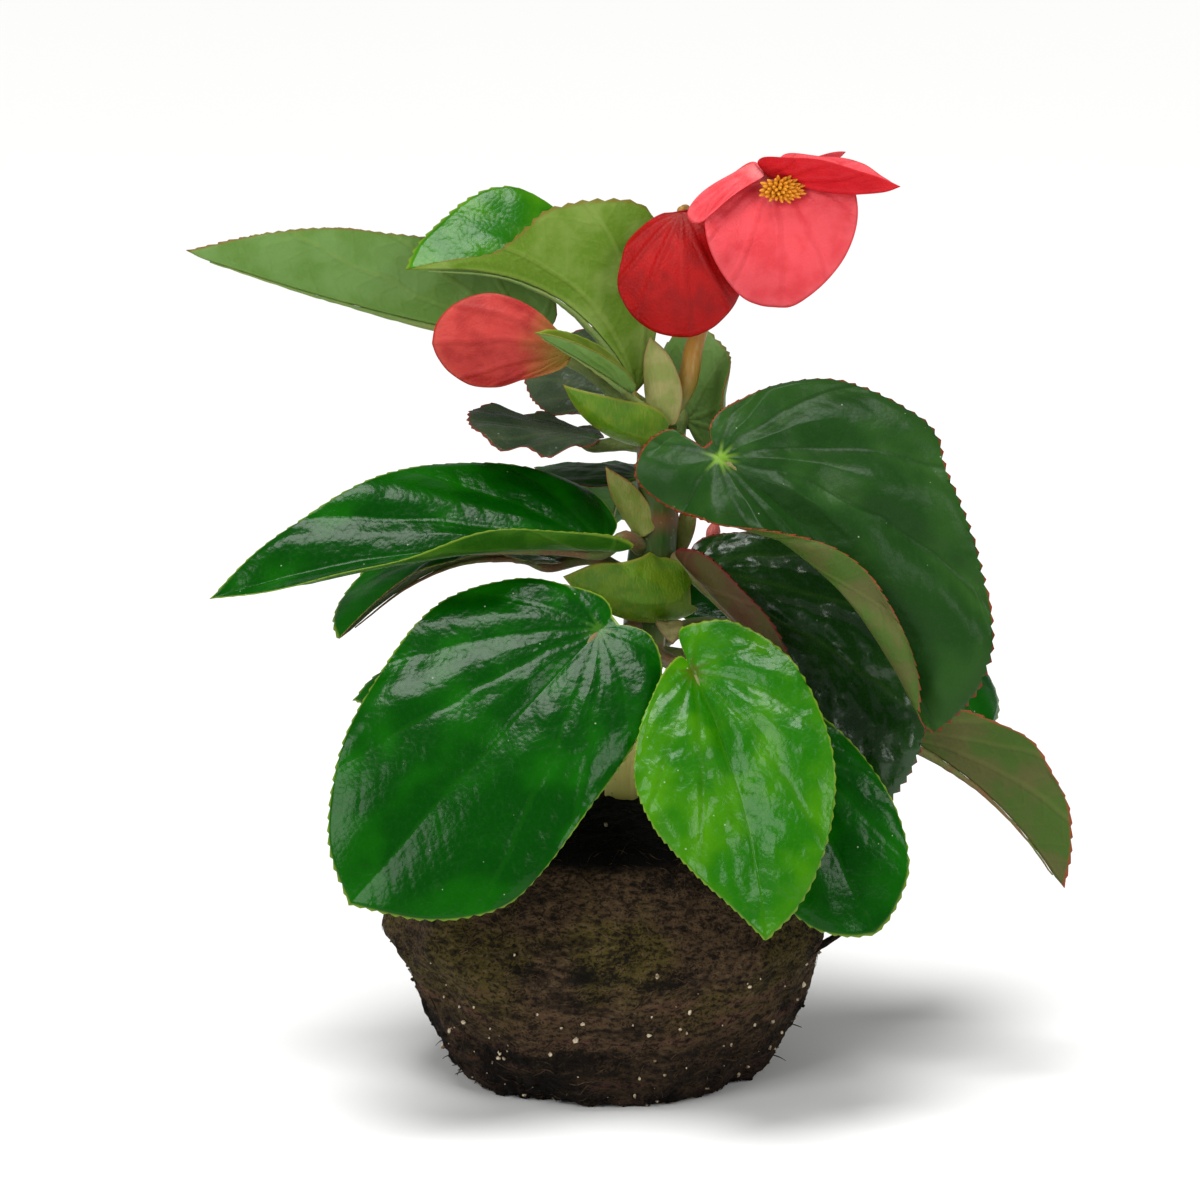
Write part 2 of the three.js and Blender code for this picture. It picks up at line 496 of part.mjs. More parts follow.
// A point of the blade's middle surface: q runs from the stalk to the tip along the edge of
// one half, and reach runs from the stalk, 0, out to the edge, 1.
function bladePoint(frame, half, q, reach) {
  const spec = frame.spec;
  const title = half === "left" ? "Left" : "Right";
  const edge = frame.halves[half].getPointAt(q);
  const s = edge.x * reach;
  const out = Math.max(edge.y, 0) * reach * frame.length;
  const { point, left, up, along } = station(frame, s);
  const width = Math.max(...spec[half].map(([, t]) => t)) * frame.length;
  const fold = radians(mix(...spec["fold" + title], along));
  const curl = radians(mix(...spec["curl" + title], along)) / width || 1e-6;
  const turn = 2 * Math.PI * spec.waves * q + spec.phase + (half === "left" ? 0 : 2);
  const wave = spec.wave * Math.sin(turn) * reach ** 3 * Math.sin(Math.PI * q);
  const sideways = (Math.sin(fold + curl * out) - Math.sin(fold)) / curl;
  const lift = (Math.cos(fold) - Math.cos(fold + curl * out)) / curl + wave;
  point.addScaledVector(left, half === "left" ? sideways : -sideways);
  return point.addScaledVector(up, lift);
}

// A leaf, tepal or stipule as one closed sheet. Spokes run from the stalk to the edge, from
// the left half round the tip to the right half, on rings with fewer spokes towards the stalk.
function bladeSolid(spec, rays, thickness, toothDepth) {
  const frame = bladeFrame(spec);
  const rings = BLADE_RINGS.map(([reach, stride]) => ({ reach, stride, index: [] }));
  const surface = [frame.midrib.getPoint(0)];
  for (const ring of rings) {
    for (let ray = 0; ray <= rays; ray += ring.stride) {
      const turned = (2 * ray) / rays;
      const half = turned <= 1 ? "left" : "right";
      const q = mix(FIRST_SPOKE / rays, 1, half === "left" ? turned : 2 - turned);
      const edge = frame.halves[half].getPointAt(q).length() * frame.length;
      const notch = ring.stride === 1 && ray % 2 ? toothDepth / edge : 0;
      ring.index.push(surface.length);
      surface.push(bladePoint(frame, half, q, ring.reach - notch));
    }
  }
  const faces = [];
  const first = rings[0].index;
  for (let k = 0; k + 1 < first.length; k++) faces.push([0, first[k + 1], first[k]]);
  for (let r = 0; r + 1 < rings.length; r++) {
    const inner = rings[r].index;
    const outer = rings[r + 1].index;
    const fine = (outer.length - 1) / (inner.length - 1);
    for (let k = 0; k + 1 < inner.length; k++) {
      const o = k * fine;
      faces.push([inner[k], inner[k + 1], outer[o + fine]]);
      faces.push([inner[k], outer[o + fine], outer[o + fine - 1]]);
      if (fine === 2) faces.push([inner[k], outer[o + 1], outer[o]]);
    }
  }
  return thicken(surface, faces, rim(rings), thickness);
}

// The blade's outer loop: out along the first spoke, round the edge, back along the last.
function rim(rings) {
  const out = rings.slice(0, -1).map((ring) => ring.index[0]);
  const back = rings.slice(0, -1).map((ring) => ring.index.at(-1));
  return [0, ...out, ...rings.at(-1).index, ...back.reverse()];
}

// Gives an open sheet its thickness along the mean normal of the faces at each point.
function thicken(surface, faces, loop, thickness) {
  const normals = surface.map(() => new THREE.Vector3());
  for (const [a, b, c] of faces) {
    const ab = surface[b].clone().sub(surface[a]);
    const normal = ab.cross(surface[c].clone().sub(surface[a]));
    for (const corner of [a, b, c]) normals[corner].add(normal);
  }
  const offset = (sign) =>
    surface.map((p, k) => p.clone().addScaledVector(normals[k].normalize(), (sign * thickness) / 2));
  const count = surface.length;
  const under = faces.map(([a, b, c]) => [a + count, c + count, b + count]);
  const wall = loop.flatMap((a, k) => {
    const b = loop[(k + 1) % loop.length];
    return [[a, b, b + count], [a, b + count, a + count]];
  });
  return solid([...offset(1), ...offset(-1)], [...faces, ...under, ...wall]);
}

// A round stalk along a smooth curve, its radius changing evenly from point to point.
function stalk(path, radii, steps, sides, grow = 0) {
  const curve = new THREE.CatmullRomCurve3(path.map(vec), false, "catmullrom", 0.5);
  const frames = curve.computeFrenetFrames(steps, false);
  const vertices = [];
  const triangles = [];
  for (let step = 0; step <= steps; step++) {
    const share = step / steps;
    const place = share * (radii.length - 1);
    const low = Math.min(Math.floor(place), radii.length - 2);
    const radius = mix(radii[low], radii[low + 1], place - low) + grow;
    const centre = curve.getPointAt(share);
    for (let side = 0; side < sides; side++) {
      const angle = (2 * Math.PI * side) / sides;
      const rim = frames.normals[step].clone().multiplyScalar(radius * Math.cos(angle));
      rim.addScaledVector(frames.binormals[step], radius * Math.sin(angle));
      vertices.push(rim.add(centre));
    }
  }
  for (let step = 0; step < steps; step++) {
    for (let side = 0; side < sides; side++) {
      const a = step * sides + side;
      const b = step * sides + ((side + 1) % sides);
      triangles.push([a, b, b + sides], [a, b + sides, a + sides]);
    }
  }
  const last = steps * sides;
  for (let side = 1; side + 1 < sides; side++) {
    triangles.push([0, side + 1, side], [last, last + side, last + side + 1]);
  }
  return solid(vertices, triangles);
}

// The root ball's radius at a height and an angle: the smooth profile with its lumps.
function ballRadius(radius, height, angle) {
  const lumps = BALL_LUMPS.map(
    ([share, round, turns, start]) => share * Math.sin(round * angle + (turns * height) / 10 + start),
  );
  return radius * (1 + lumps.reduce((sum, lump) => sum + lump));
}

// The root ball: rings of its profile between a flat underside and a low crown.
function rootBall() {
  const vertices = [new THREE.Vector3(0, 0, 0), new THREE.Vector3(0, 0, BALL_TOP)];
  for (const [radius, height] of BALL_PROFILE) {
    for (let side = 0; side < BALL_SIDES; side++) {
      const angle = (2 * Math.PI * side) / BALL_SIDES;
      const out = ballRadius(radius, height, angle);
      vertices.push(new THREE.Vector3(out * Math.cos(angle), out * Math.sin(angle), height));
    }
  }
  const triangles = [];
  const top = 2 + (BALL_PROFILE.length - 1) * BALL_SIDES;
  for (let side = 0; side < BALL_SIDES; side++) {
    const next = (side + 1) % BALL_SIDES;
    triangles.push([0, 2 + next, 2 + side], [1, top + side, top + next]);
    for (let ring = 2; ring < top; ring += BALL_SIDES) {
      const [a, b] = [ring + side, ring + next];
      triangles.push([a, b, b + BALL_SIDES], [a, b + BALL_SIDES, a + BALL_SIDES]);
    }
  }
  const twig = stalk(ROOT_TWIG.path, ROOT_TWIG.radii, 4, 6);
  return solid(vertices, triangles).add(twig);
}

// The main stem, or with grow the space that it and its clearance take up.
function mainStem(grow = 0) {
  const [foot, ...rest] = STEM_PATH;
  return stalk([[foot[0], foot[1], foot[2] - grow], ...rest], STEM_RADII, 14, 10, grow);
}

// The petiole of a leaf, from inside the stem to just under the blade, and the ridge that it
// runs on into below the midrib, straight between the rings as the blade is.
function petiole(spec, grow = 0) {
  const frame = bladeFrame(spec);
  const radius = spec.petioleRadius ?? PETIOLE_RADIUS;
  const below = (s, depth) => {
    const { point, up } = station(frame, s);
    return point.addScaledVector(up, -depth).toArray();
  };
  const [[inner], [outer]] = BLADE_RINGS;
  const end = below(0, radius * PETIOLE_SINK);
  const middle = below(inner, MIDRIB_RADIUS);
  const round = [radius * PETIOLE_FLARE, radius, radius * PETIOLE_TAPER];
  return stalk([...spec.petiole, end], round, 5, 6, grow)
    .add(stalk([end, middle], [radius * PETIOLE_TAPER, MIDRIB_RADIUS], 1, 4, grow))
    .add(stalk([middle, below(outer, RIDGE_TIP)], [MIDRIB_RADIUS, RIDGE_TIP], 1, 4, grow));
}

// The tuft of stamens, its clubs set out as the seeds of a sunflower are.
function stamens() {
  const { knob, count, rootRing, spread, flat, reach, dome, radii } = STAMENS;
  const [back, front] = knob.path.map(vec);
  const forward = front.clone().sub(back).normalize();
  const across = new THREE.Vector3(1, 0, 0);
  const rise = forward.clone().cross(across).normalize();
  const goldenAngle = Math.PI * (3 - Math.sqrt(5));
  let tuft = stalk(knob.path, knob.radii, 2, 8);
  for (let k = 0; k < count; k++) {
    const out = Math.sqrt((k + 0.5) / count);
    const side = across.clone().multiplyScalar(Math.cos(k * goldenAngle) * out);
    side.addScaledVector(rise, Math.sin(k * goldenAngle) * out * flat);
    const root = back.clone().lerp(front, 0.6).addScaledVector(side, rootRing);
    const end = front.clone().addScaledVector(side, spread);
    end.addScaledVector(forward, reach - dome * out);
    tuft = tuft.add(stalk([root.toArray(), end.toArray()], radii, 3, 4));
  }
  return tuft;
}

// Keeps the largest body, where cutting has left crumbs beside it.
function largest(cut) {
  return cut.decompose().reduce((big, body) => (body.volume() > big.volume() ? body : big));
}

// A solid as a named mesh.
function mesh(name, body, color, roughness) {
  const data = body.getMesh();
  const geometry = new THREE.BufferGeometry();
  geometry.setAttribute("position", new THREE.BufferAttribute(data.vertProperties, 3));
  geometry.setIndex(new THREE.BufferAttribute(data.triVerts, 1));
  geometry.computeVertexNormals();
  const finish = new THREE.MeshStandardMaterial({ color, roughness, metalness: 0 });
  const made = new THREE.Mesh(geometry, finish);
  made.name = name;
  return made;
}

const stemSpace = mainStem(PIECE_GAP);
const flowerStalk = (grow = 0) =>
  stalk(FLOWER_STALK.path, FLOWER_STALK.radii, 10, 8, grow).add(
    stalk(FLOWER_BRANCH.path, FLOWER_BRANCH.radii, 6, 6, grow),
  );
const sideStalk = (grow = 0) => stalk(SIDE_STALK.path, SIDE_STALK.radii, 8, 6, grow);
const tepals = (name, thickness) =>
  TEPALS[name]
    .map((spec) => bladeSolid(spec, TEPAL_RAYS, thickness, 0))
    .reduce((bloom, tepal) => bloom.add(tepal));

const plant = new THREE.Group();
plant.add(mesh("root_ball", rootBall().subtract(stemSpace), 0x3a2c20, 0.95));
plant.add(mesh("main_stem", mainStem(), 0x5e6b33, 0.5));

// Petioles that leave the same joint are pressed flat against each other.
let petioleSpace = stemSpace;
for (const [name, spec] of Object.entries(LEAVES)) {
  const blade = bladeSolid(spec, LEAF_RAYS, LEAF_THICKNESS, spec.toothDepth ?? TOOTH_DEPTH);
  plant.add(mesh(name, largest(blade.add(petiole(spec)).subtract(petioleSpace)), spec.color, 0.35));
  petioleSpace = petioleSpace.add(petiole(spec, PIECE_GAP));
}

const stalkSpace = petioleSpace.add(flowerStalk(PIECE_GAP)).add(sideStalk(PIECE_GAP));
for (const [name, spec] of Object.entries(STIPULES)) {
  const scale = bladeSolid(spec, STIPULE_RAYS, STIPULE_THICKNESS, 0);
  plant.add(mesh(name, largest(scale.subtract(stalkSpace)), spec.color, 0.55));
}

plant.add(mesh("flower_stalk", largest(flowerStalk().subtract(petioleSpace)), 0xb0743a, 0.5));
plant.add(mesh("side_flower_stalk", largest(sideStalk().subtract(petioleSpace)), 0x77702c, 0.5));
const bloomStalks = { open_bloom: flowerStalk, closed_bloom: flowerStalk, side_bloom: sideStalk };
for (const [name, carrier] of Object.entries(bloomStalks)) {
  const bloom = largest(tepals(name, TEPAL_THICKNESS).subtract(carrier(PIECE_GAP)));
  plant.add(mesh(name, bloom, TEPAL_COLORS[name], 0.45));
}
const bloomSpace = tepals("open_bloom", TEPAL_THICKNESS + 2 * PIECE_GAP).add(flowerStalk(PIECE_GAP));
plant.add(mesh("open_bloom_stamens", largest(stamens().subtract(bloomSpace)), 0xe0b52a, 0.6));

const budStalk = stalk(BUD_STALK.path, BUD_STALK.radii, 6, 6).subtract(petioleSpace);
plant.add(mesh("bud_stalk", largest(budStalk), 0x8a9a3a, 0.5));
plant.add(mesh("flower_bud", stalk(BUD.path, BUD.radii, 8, 8), 0xe0707c, 0.5));

export default plant;
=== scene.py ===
"""Looks of a young begonia on its bare root ball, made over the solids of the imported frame."""

import bpy
import numpy as np
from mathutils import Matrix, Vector


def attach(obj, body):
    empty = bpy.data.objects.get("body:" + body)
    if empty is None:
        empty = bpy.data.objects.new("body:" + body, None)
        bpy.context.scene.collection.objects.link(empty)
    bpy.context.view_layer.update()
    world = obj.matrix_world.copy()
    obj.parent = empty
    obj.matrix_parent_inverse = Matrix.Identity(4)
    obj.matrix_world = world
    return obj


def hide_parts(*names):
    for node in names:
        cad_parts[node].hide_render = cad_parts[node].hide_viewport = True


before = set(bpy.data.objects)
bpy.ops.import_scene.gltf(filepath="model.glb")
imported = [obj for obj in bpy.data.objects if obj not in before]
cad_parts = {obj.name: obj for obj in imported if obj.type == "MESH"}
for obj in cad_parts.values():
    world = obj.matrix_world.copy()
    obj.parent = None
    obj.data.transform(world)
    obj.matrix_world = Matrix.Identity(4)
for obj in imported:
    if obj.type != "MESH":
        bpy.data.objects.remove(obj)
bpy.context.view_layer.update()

# Root ball
# Peat and bark bound by fine roots, moulded by the nursery pot that it was lifted out of. It
# stands on its flattened underside. Crumbs cling to it, most of them low down, and a stray root
# twig sticks out of its right shoulder.
MM = 0.001
CM = 10  # mm
# Radius and height in mm, from the middle of the underside up to the foot of the stem.
BALL_PROFILE = [
    (2, 0), (18, 0), (33, 0), (37, 2), (41, 8), (44.5, 16), (46.5, 23), (48.5, 29), (50, 33.5),
    (48.5, 39), (46.5, 45), (43.5, 52), (39.5, 57), (33, 60.5), (22, 62), (10, 62.8), (2, 63),
]
BALL_FOOT, BALL_TOP = 0.2, 0.85  # shares of the profile between which the side of the ball lies
# Lumps: share of the radius, number round the ball, lean in radians a cm of height, start angle.
BALL_LUMPS = [
    (0.03, 1, -0.5, 1.9), (0.018, 3, 0.6, 0.4), (0.014, 5, -1.1, 2.1), (0.012, 9, 1.7, 4.0),
    (0.008, 14, -2.3, 1.2),
]
BALL_ROWS, BALL_COLUMNS = 140, 360
CRUST = [(9.0, 1.0), (3.4, 0.6), (1.5, 0.45), (0.8, 0.35)]  # sizes of the relief and how deep, in mm
LOOSE_TOP, LOOSE_SPAN = 24, 12  # mm: the peat gets looser below this height, over this much of it
SHOULDER, SHOULDER_SPAN = 34, 3.5  # mm: height of the widest ring, where it is loose as well
SHADED_SOIL_TOP = 56  # mm: above this the top of the soil is painted black, painted shade under the leaves
TWIG_PATH = [(44, -8, 27), (50, -9.5, 30.5), (54.8, -10, 33.5)]
TWIG_RADII = (1.6, 1.3, 1.2, 0.9, 0.8, 0.5)
CRUMB_COUNT, CRUMB_SIZES, CRUMB_LIFT = 1300, (0.25, 0.85), 0.05
CRUMB_SPAN = 0.62  # share of the profile above the foot that crumbs cling to, most of them low
PEAT_BLACK = (0.002, 0.0015, 0.001)
PEAT_DARK = (0.008, 0.005, 0.003)
PEAT_BROWN = (0.06, 0.036, 0.018)
PEAT_OLIVE = (0.056, 0.046, 0.006)
PEAT_RED = (0.09, 0.042, 0.028)
ROOT_TAN = (0.12, 0.08, 0.04)


class Shell:
    """A closed surface in mm: points, triangles that face out, the number of the material of each
    triangle, and named values at the points for the materials to read."""

    def __init__(self, points, faces, slots=0, **values):
        self.points = np.asarray(points, float)
        self.faces = np.asarray(faces, int)
        self.slots = np.broadcast_to(slots, len(self.faces))
        self.values = values


def joined(shells):
    """One shell of several, end to end. A value that a shell lacks is 0 on it."""
    starts = np.cumsum([0] + [len(shell.points) for shell in shells])
    names = sorted({name for shell in shells for name in shell.values})
    values = {
        name: np.concatenate([shell.values.get(name, np.zeros(len(shell.points))) for shell in shells])
        for name in names
    }
    return Shell(
        np.concatenate([shell.points for shell in shells]),
        np.concatenate([shell.faces + start for shell, start in zip(shells, starts)]),
        np.concatenate([shell.slots for shell in shells]),
        **values,
    )


def unit(vectors):
    """The vectors scaled to length 1."""
    return vectors / np.maximum(np.linalg.norm(vectors, axis=-1, keepdims=True), 1e-9)


def smooth_curve(points, shares, run_on=1):
    """Places on a smooth curve through the points, a uniform Catmull-Rom spline, at shares of its
    length. Past its ends the spline is led by the end point again, moved on by the last step
    times run_on."""
    fixed = np.asarray(points, float)
    beyond = fixed[[0, -1]] + run_on * (fixed[[0, -1]] - fixed[[1, -2]])
    padded = np.vstack([beyond[:1], fixed, beyond[1:]])

    def place(parameter):
        piece = np.minimum(parameter.astype(int), len(fixed) - 2)
        t = (parameter - piece)[:, None]
        before, start, end, after = (padded[piece + k] for k in range(4))
        cubic = 3 * (start - end) + after - before
        square = 2 * before - 5 * start + 4 * end - after
        return start + 0.5 * t * (end - before + t * (square + t * cubic))

    fine = np.linspace(0, len(fixed) - 1, 40 * len(fixed))
    steps = np.linalg.norm(np.diff(place(fine), axis=0), axis=1)
    length = np.concatenate([[0], np.cumsum(steps)])
    return place(np.interp(np.asarray(shares) * length[-1], length, fine))


def cloud(points, size, seed):
    """Smooth random field from -1 to 1: a seeded random number at each corner of a cubic lattice of
    the given size, and between corners the eight round a point blended by 3t^2 - 2t^3."""
    table = np.random.default_rng(seed).uniform(-1, 1, (64, 64, 64))
    cell = np.floor(np.asarray(points) / size).astype(int)
    t = np.asarray(points) / size - cell
    t = t * t * (3 - 2 * t)
    total = 0
    for corner in np.ndindex(2, 2, 2):
        weight = np.prod(np.where(corner, t, 1 - t), axis=-1)
        total = total + weight * table[tuple(np.moveaxis((cell + corner) % 64, -1, 0))]
    return total


def closed_rings(rings, first, last, **values):
    """A shell of rings of points that follow each other along a path, counter-clockwise about it.
    Its ends are closed by triangles to a first and a last point, which take the mean values of the
    rings beside them."""
    count, sides = rings.shape[:2]
    index = np.arange(count * sides).reshape(count, sides)
    ahead = np.roll(index, -1, axis=1)
    skin = [(index[:-1], ahead[:-1], ahead[1:]), (index[:-1], ahead[1:], index[1:])]
    start, end = np.full(sides, count * sides), np.full(sides, count * sides + 1)
    caps = [(start, ahead[0], index[0]), (end, index[-1], ahead[-1])]
    faces = np.concatenate([np.stack(corners, -1).reshape(-1, 3) for corners in skin + caps])
    points = np.concatenate([rings.reshape(-1, 3), [first, last]])
    grids = {name: np.broadcast_to(value, (count, sides)) for name, value in values.items()}
    full = {name: np.append(grid, [grid[0].mean(), grid[-1].mean()]) for name, grid in grids.items()}
    return Shell(points, faces, **full)


def tube(path, radii, steps, sides, slot=0):
    """A closed round tube: rings square to a smooth curve, at even steps, with the radius blended
    between the given ones. The value along is the distance from its start in mm."""
    shares = np.linspace(0, 1, steps + 1)
    middle = smooth_curve(path, shares)
    forward = unit(np.gradient(middle, axis=0))
    aside = np.eye(3)[np.argmin(np.abs(forward).max(axis=0))]
    across = unit(np.cross(forward, aside))[:, None]
    rise = np.cross(forward, across[:, 0])[:, None]
    turn = np.linspace(0, 2 * np.pi, sides, endpoint=False)[None, :, None]
    radius = np.interp(shares, np.linspace(0, 1, len(radii)), radii)[:, None, None]
    rings = middle[:, None] + radius * (np.cos(turn) * across + np.sin(turn) * rise)
    along = np.linalg.norm(middle - middle[0], axis=1)[:, None]
    shell = closed_rings(rings, middle[0], middle[-1], along=along)
    shell.slots = np.full(len(shell.faces), slot)
    return shell


def build(name, shell, finishes):
    """Puts a shell into the scene as one smooth mesh in metres, with a material for each number."""
    mesh = bpy.data.meshes.new(name)
    mesh.vertices.add(len(shell.points))
    mesh.vertices.foreach_set("co", (shell.points * MM).ravel())
    mesh.loops.add(shell.faces.size)
    mesh.loops.foreach_set("vertex_index", shell.faces.ravel())
    mesh.polygons.add(len(shell.faces))
    mesh.polygons.foreach_set("loop_start", np.arange(0, shell.faces.size, 3))
    mesh.polygons.foreach_set("material_index", shell.slots.astype(np.int32))
    mesh.polygons.foreach_set("use_smooth", np.ones(len(shell.faces), bool))
    for key, value in shell.values.items():
        mesh.attributes.new(key, "FLOAT", "POINT").data.foreach_set("value", value.astype(np.float32))
    for finish in finishes:
        mesh.materials.append(finish.material)
    mesh.update(calc_edges=True)
    piece = bpy.data.objects.new(name, mesh)
    bpy.context.scene.collection.objects.link(piece)
    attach(piece, "root")
    return piece


class Field:
    """A number, colour or direction that changes over a surface: one output of a finish's nodes.
    Arithmetic on fields adds the Math nodes that work it out."""

    def __init__(self, finish, socket):
        self.finish = finish
        self.socket = socket

    def math(self, operation, *values):
        sockets = dict(enumerate(values))
        return self.finish.node("ShaderNodeMath", sockets, operation=operation)

    def __add__(self, other):
        return self.math("ADD", self, other)

    def __sub__(self, other):
        return self.math("SUBTRACT", self, other)

    def __mul__(self, other):
        return self.math("MULTIPLY", self, other)

    def __truediv__(self, other):
        return self.math("DIVIDE", self, other)

    def __rsub__(self, other):
        return self.math("SUBTRACT", other, self)

    __radd__ = __add__
    __rmul__ = __mul__

    def zigzag(self):
        """0 where the number is halfway between two whole ones, 1 where it is whole."""
        return self.math("ABSOLUTE", self.math("FRACT", self) - 0.5) * 2

    def between(self, start, end):
        """0 at start and before it, 1 at end and past it, and an S-curve between them."""
        limits = {"Value": self, "From Min": start, "From Max": end}
        return self.finish.node("ShaderNodeMapRange", limits, interpolation_type="SMOOTHSTEP")


class Finish:
    """A material in the making: a Principled shader with the values that are the same all over."""

    def __init__(self, name, **uniform):
        self.material = bpy.data.materials.new(name)
        self.material.use_nodes = True
        self.shader = self.material.node_tree.nodes["Principled BSDF"]
        for key, value in uniform.items():
            self.shader.inputs[key.replace("_", " ")].default_value = value
        self.place = self.node("ShaderNodeTexCoord", output="Object")

    def node(self, kind, sockets=None, output=0, **settings):
        """Adds a node: its settings first, then the number, colour or field of each socket."""
        node = self.material.node_tree.nodes.new(kind)
        for key, value in settings.items():
            setattr(node, key, value)
        for key, value in (sockets or {}).items():
            self.feed(node.inputs[key], value)
        return Field(self, node.outputs[output])

    def feed(self, socket, value):
        """Links a field to a socket, or sets a number or colour on it."""
        if isinstance(value, Field):
            self.material.node_tree.links.new(value.socket, socket)
        elif socket.type == "RGBA":
            socket.default_value = (*value, 1)
        else:
            socket.default_value = value

    def value(self, name):
        """A named value of the mesh."""
        return self.node("ShaderNodeAttribute", output="Fac", attribute_name=name)

    def height(self):
        """Height above the ground in mm."""
        return self.node("ShaderNodeSeparateXYZ", {0: self.place}, output="Z") / MM

    def noise(self, size, detail, stretch=(1, 1, 1)):
        """Clouds from 0 to 1 of about the given size in mm, stretched so many times along X, Y, Z."""
        scale = tuple(1 / (size * MM * times) for times in stretch)
        place = self.node("ShaderNodeMapping", {"Vector": self.place, "Scale": scale})
        return self.node("ShaderNodeTexNoise", {"Vector": place, "Scale": 1, "Detail": detail})

    def grains(self, size):
        """Distance from the middle of the nearest of many scattered cells, in shares of their size."""
        return self.node("ShaderNodeTexVoronoi", {"Vector": self.place, "Scale": 1 / (size * MM)})

    def layers(self, color, *layers):
        """A colour with others laid over it in turn, each where its mask is 1."""
        for mask, over in layers:
            sockets = {0: mask, 6: color, 7: over}  # the factor and the two colours of the mix
            color = self.node("ShaderNodeMix", sockets, output=2, data_type="RGBA")
        return color

    def wear(self, color, roughness=None, relief=None):
        """Links the colour, the roughness and a relief in mm to the shader."""
        self.feed(self.shader.inputs["Base Color"], color)
        if roughness is not None:
            self.feed(self.shader.inputs["Roughness"], roughness)
        if relief is not None:
            bump = self.node("ShaderNodeBump", {"Height": relief, "Distance": MM})
            self.feed(self.shader.inputs["Normal"], bump)


def ball_skin(turn, share, lift=0.0):
    """Places on the ball at an angle and at a share of its profile. Lumps widen the profile by sines
    of the angle and height, and the crust moves it along its normal by clouds of four sizes, deepest
    where it is crumbly. Also gives how crumbly each place is, from 0 to 1: clouds of two sizes, with
    more near the foot and at the shoulder."""
    turn, share = np.broadcast_arrays(turn, share)

    def profile(shift):
        shares = np.clip(share.ravel() + shift, 0, 1)
        return smooth_curve(BALL_PROFILE, shares).reshape(*share.shape, 2)

    slope = unit(profile(0.01) - profile(-0.01))
    radius, height = np.moveaxis(profile(0), -1, 0)
    for size, around, lean, start in BALL_LUMPS:
        radius = radius * (1 + size * np.sin(around * turn + lean * height / CM + start))
    outward = np.stack([np.cos(turn), np.sin(turn)], -1)
    place = np.concatenate([outward * radius[..., None], height[..., None]], -1)
    normal = np.concatenate([outward * slope[..., 1:], -slope[..., :1]], -1)
    low = np.clip((LOOSE_TOP - height) / LOOSE_SPAN, 0, 1)
    shoulder = np.exp(-((height - SHOULDER) / SHOULDER_SPAN) ** 2)
    patch = 0.4 * cloud(place * (1, 1, 2.5), 16, 3) + 0.6 * cloud(place * (1, 1, 1.6), 5, 4)
    crumbly = np.clip(0.15 + patch + 0.4 * low + 0.2 * shoulder, 0, 1)
    crust = sum(depth * cloud(place, size, 10 + k) for k, (size, depth) in enumerate(CRUST))
    moved = place + normal * (crust * (0.3 + crumbly) + lift)[..., None]
    moved[..., 2] = np.maximum(moved[..., 2], 0)
    return moved, crumbly


def scattered(centres, sizes, stream):
    """Many small uneven grains in one shell: a coarse ball at each centre, its points drawn in or out
    at random and squashed along random axes."""
    turn = np.linspace(0, 2 * np.pi, 6, endpoint=False)[None, :]
    tilt = np.array([0.8, 1.57, 2.35])[:, None]
    ring = np.stack([np.sin(tilt) * np.cos(turn), np.sin(tilt) * np.sin(turn), np.cos(tilt) + 0 * turn], -1)
    grain = closed_rings(ring[::-1], (0, 0, -1), (0, 0, 1))
    uneven = stream.uniform(0.7, 1.25, (len(centres), len(grain.points), 1))
    squash = stream.uniform(0.6, 1.2, (len(centres), 1, 3))
    points = centres[:, None] + sizes[:, None, None] * squash * uneven * grain.points
    points[..., 2] = np.maximum(points[..., 2], 0)
    starts = len(grain.points) * np.arange(len(centres))[:, None, None]
    return Shell(points.reshape(-1, 3), (grain.faces + starts).reshape(-1, 3))


turns = np.linspace(0, 2 * np.pi, BALL_COLUMNS, endpoint=False)[None, :]
skin, crumbly = ball_skin(turns, np.linspace(0, 1, BALL_ROWS)[:, None])
ball = closed_rings(skin, skin[0].mean(0), skin[-1].mean(0), crumbly=crumbly)
twig = tube(TWIG_PATH, TWIG_RADII, 14, 10)
twig.points += 0.2 * cloud(twig.points, 1.2, 8)[:, None]
twig.values["crumbly"] = np.full(len(twig.points), 0.9)
stream = np.random.default_rng(21)
crumb_turns = stream.uniform(0, 2 * np.pi, CRUMB_COUNT)
crumb_shares = BALL_FOOT + CRUMB_SPAN * stream.beta(0.7, 2.2, CRUMB_COUNT)
crumb_spots, looseness = ball_skin(crumb_turns, crumb_shares, CRUMB_LIFT)
crumb_sizes = stream.uniform(*CRUMB_SIZES, CRUMB_COUNT) ** 1.6 * (0.4 + 0.6 * looseness)
crumbs = scattered(crumb_spots, crumb_sizes, stream)
crumbs.values = {"crumbly": np.repeat(looseness, len(crumbs.points) // CRUMB_COUNT)}

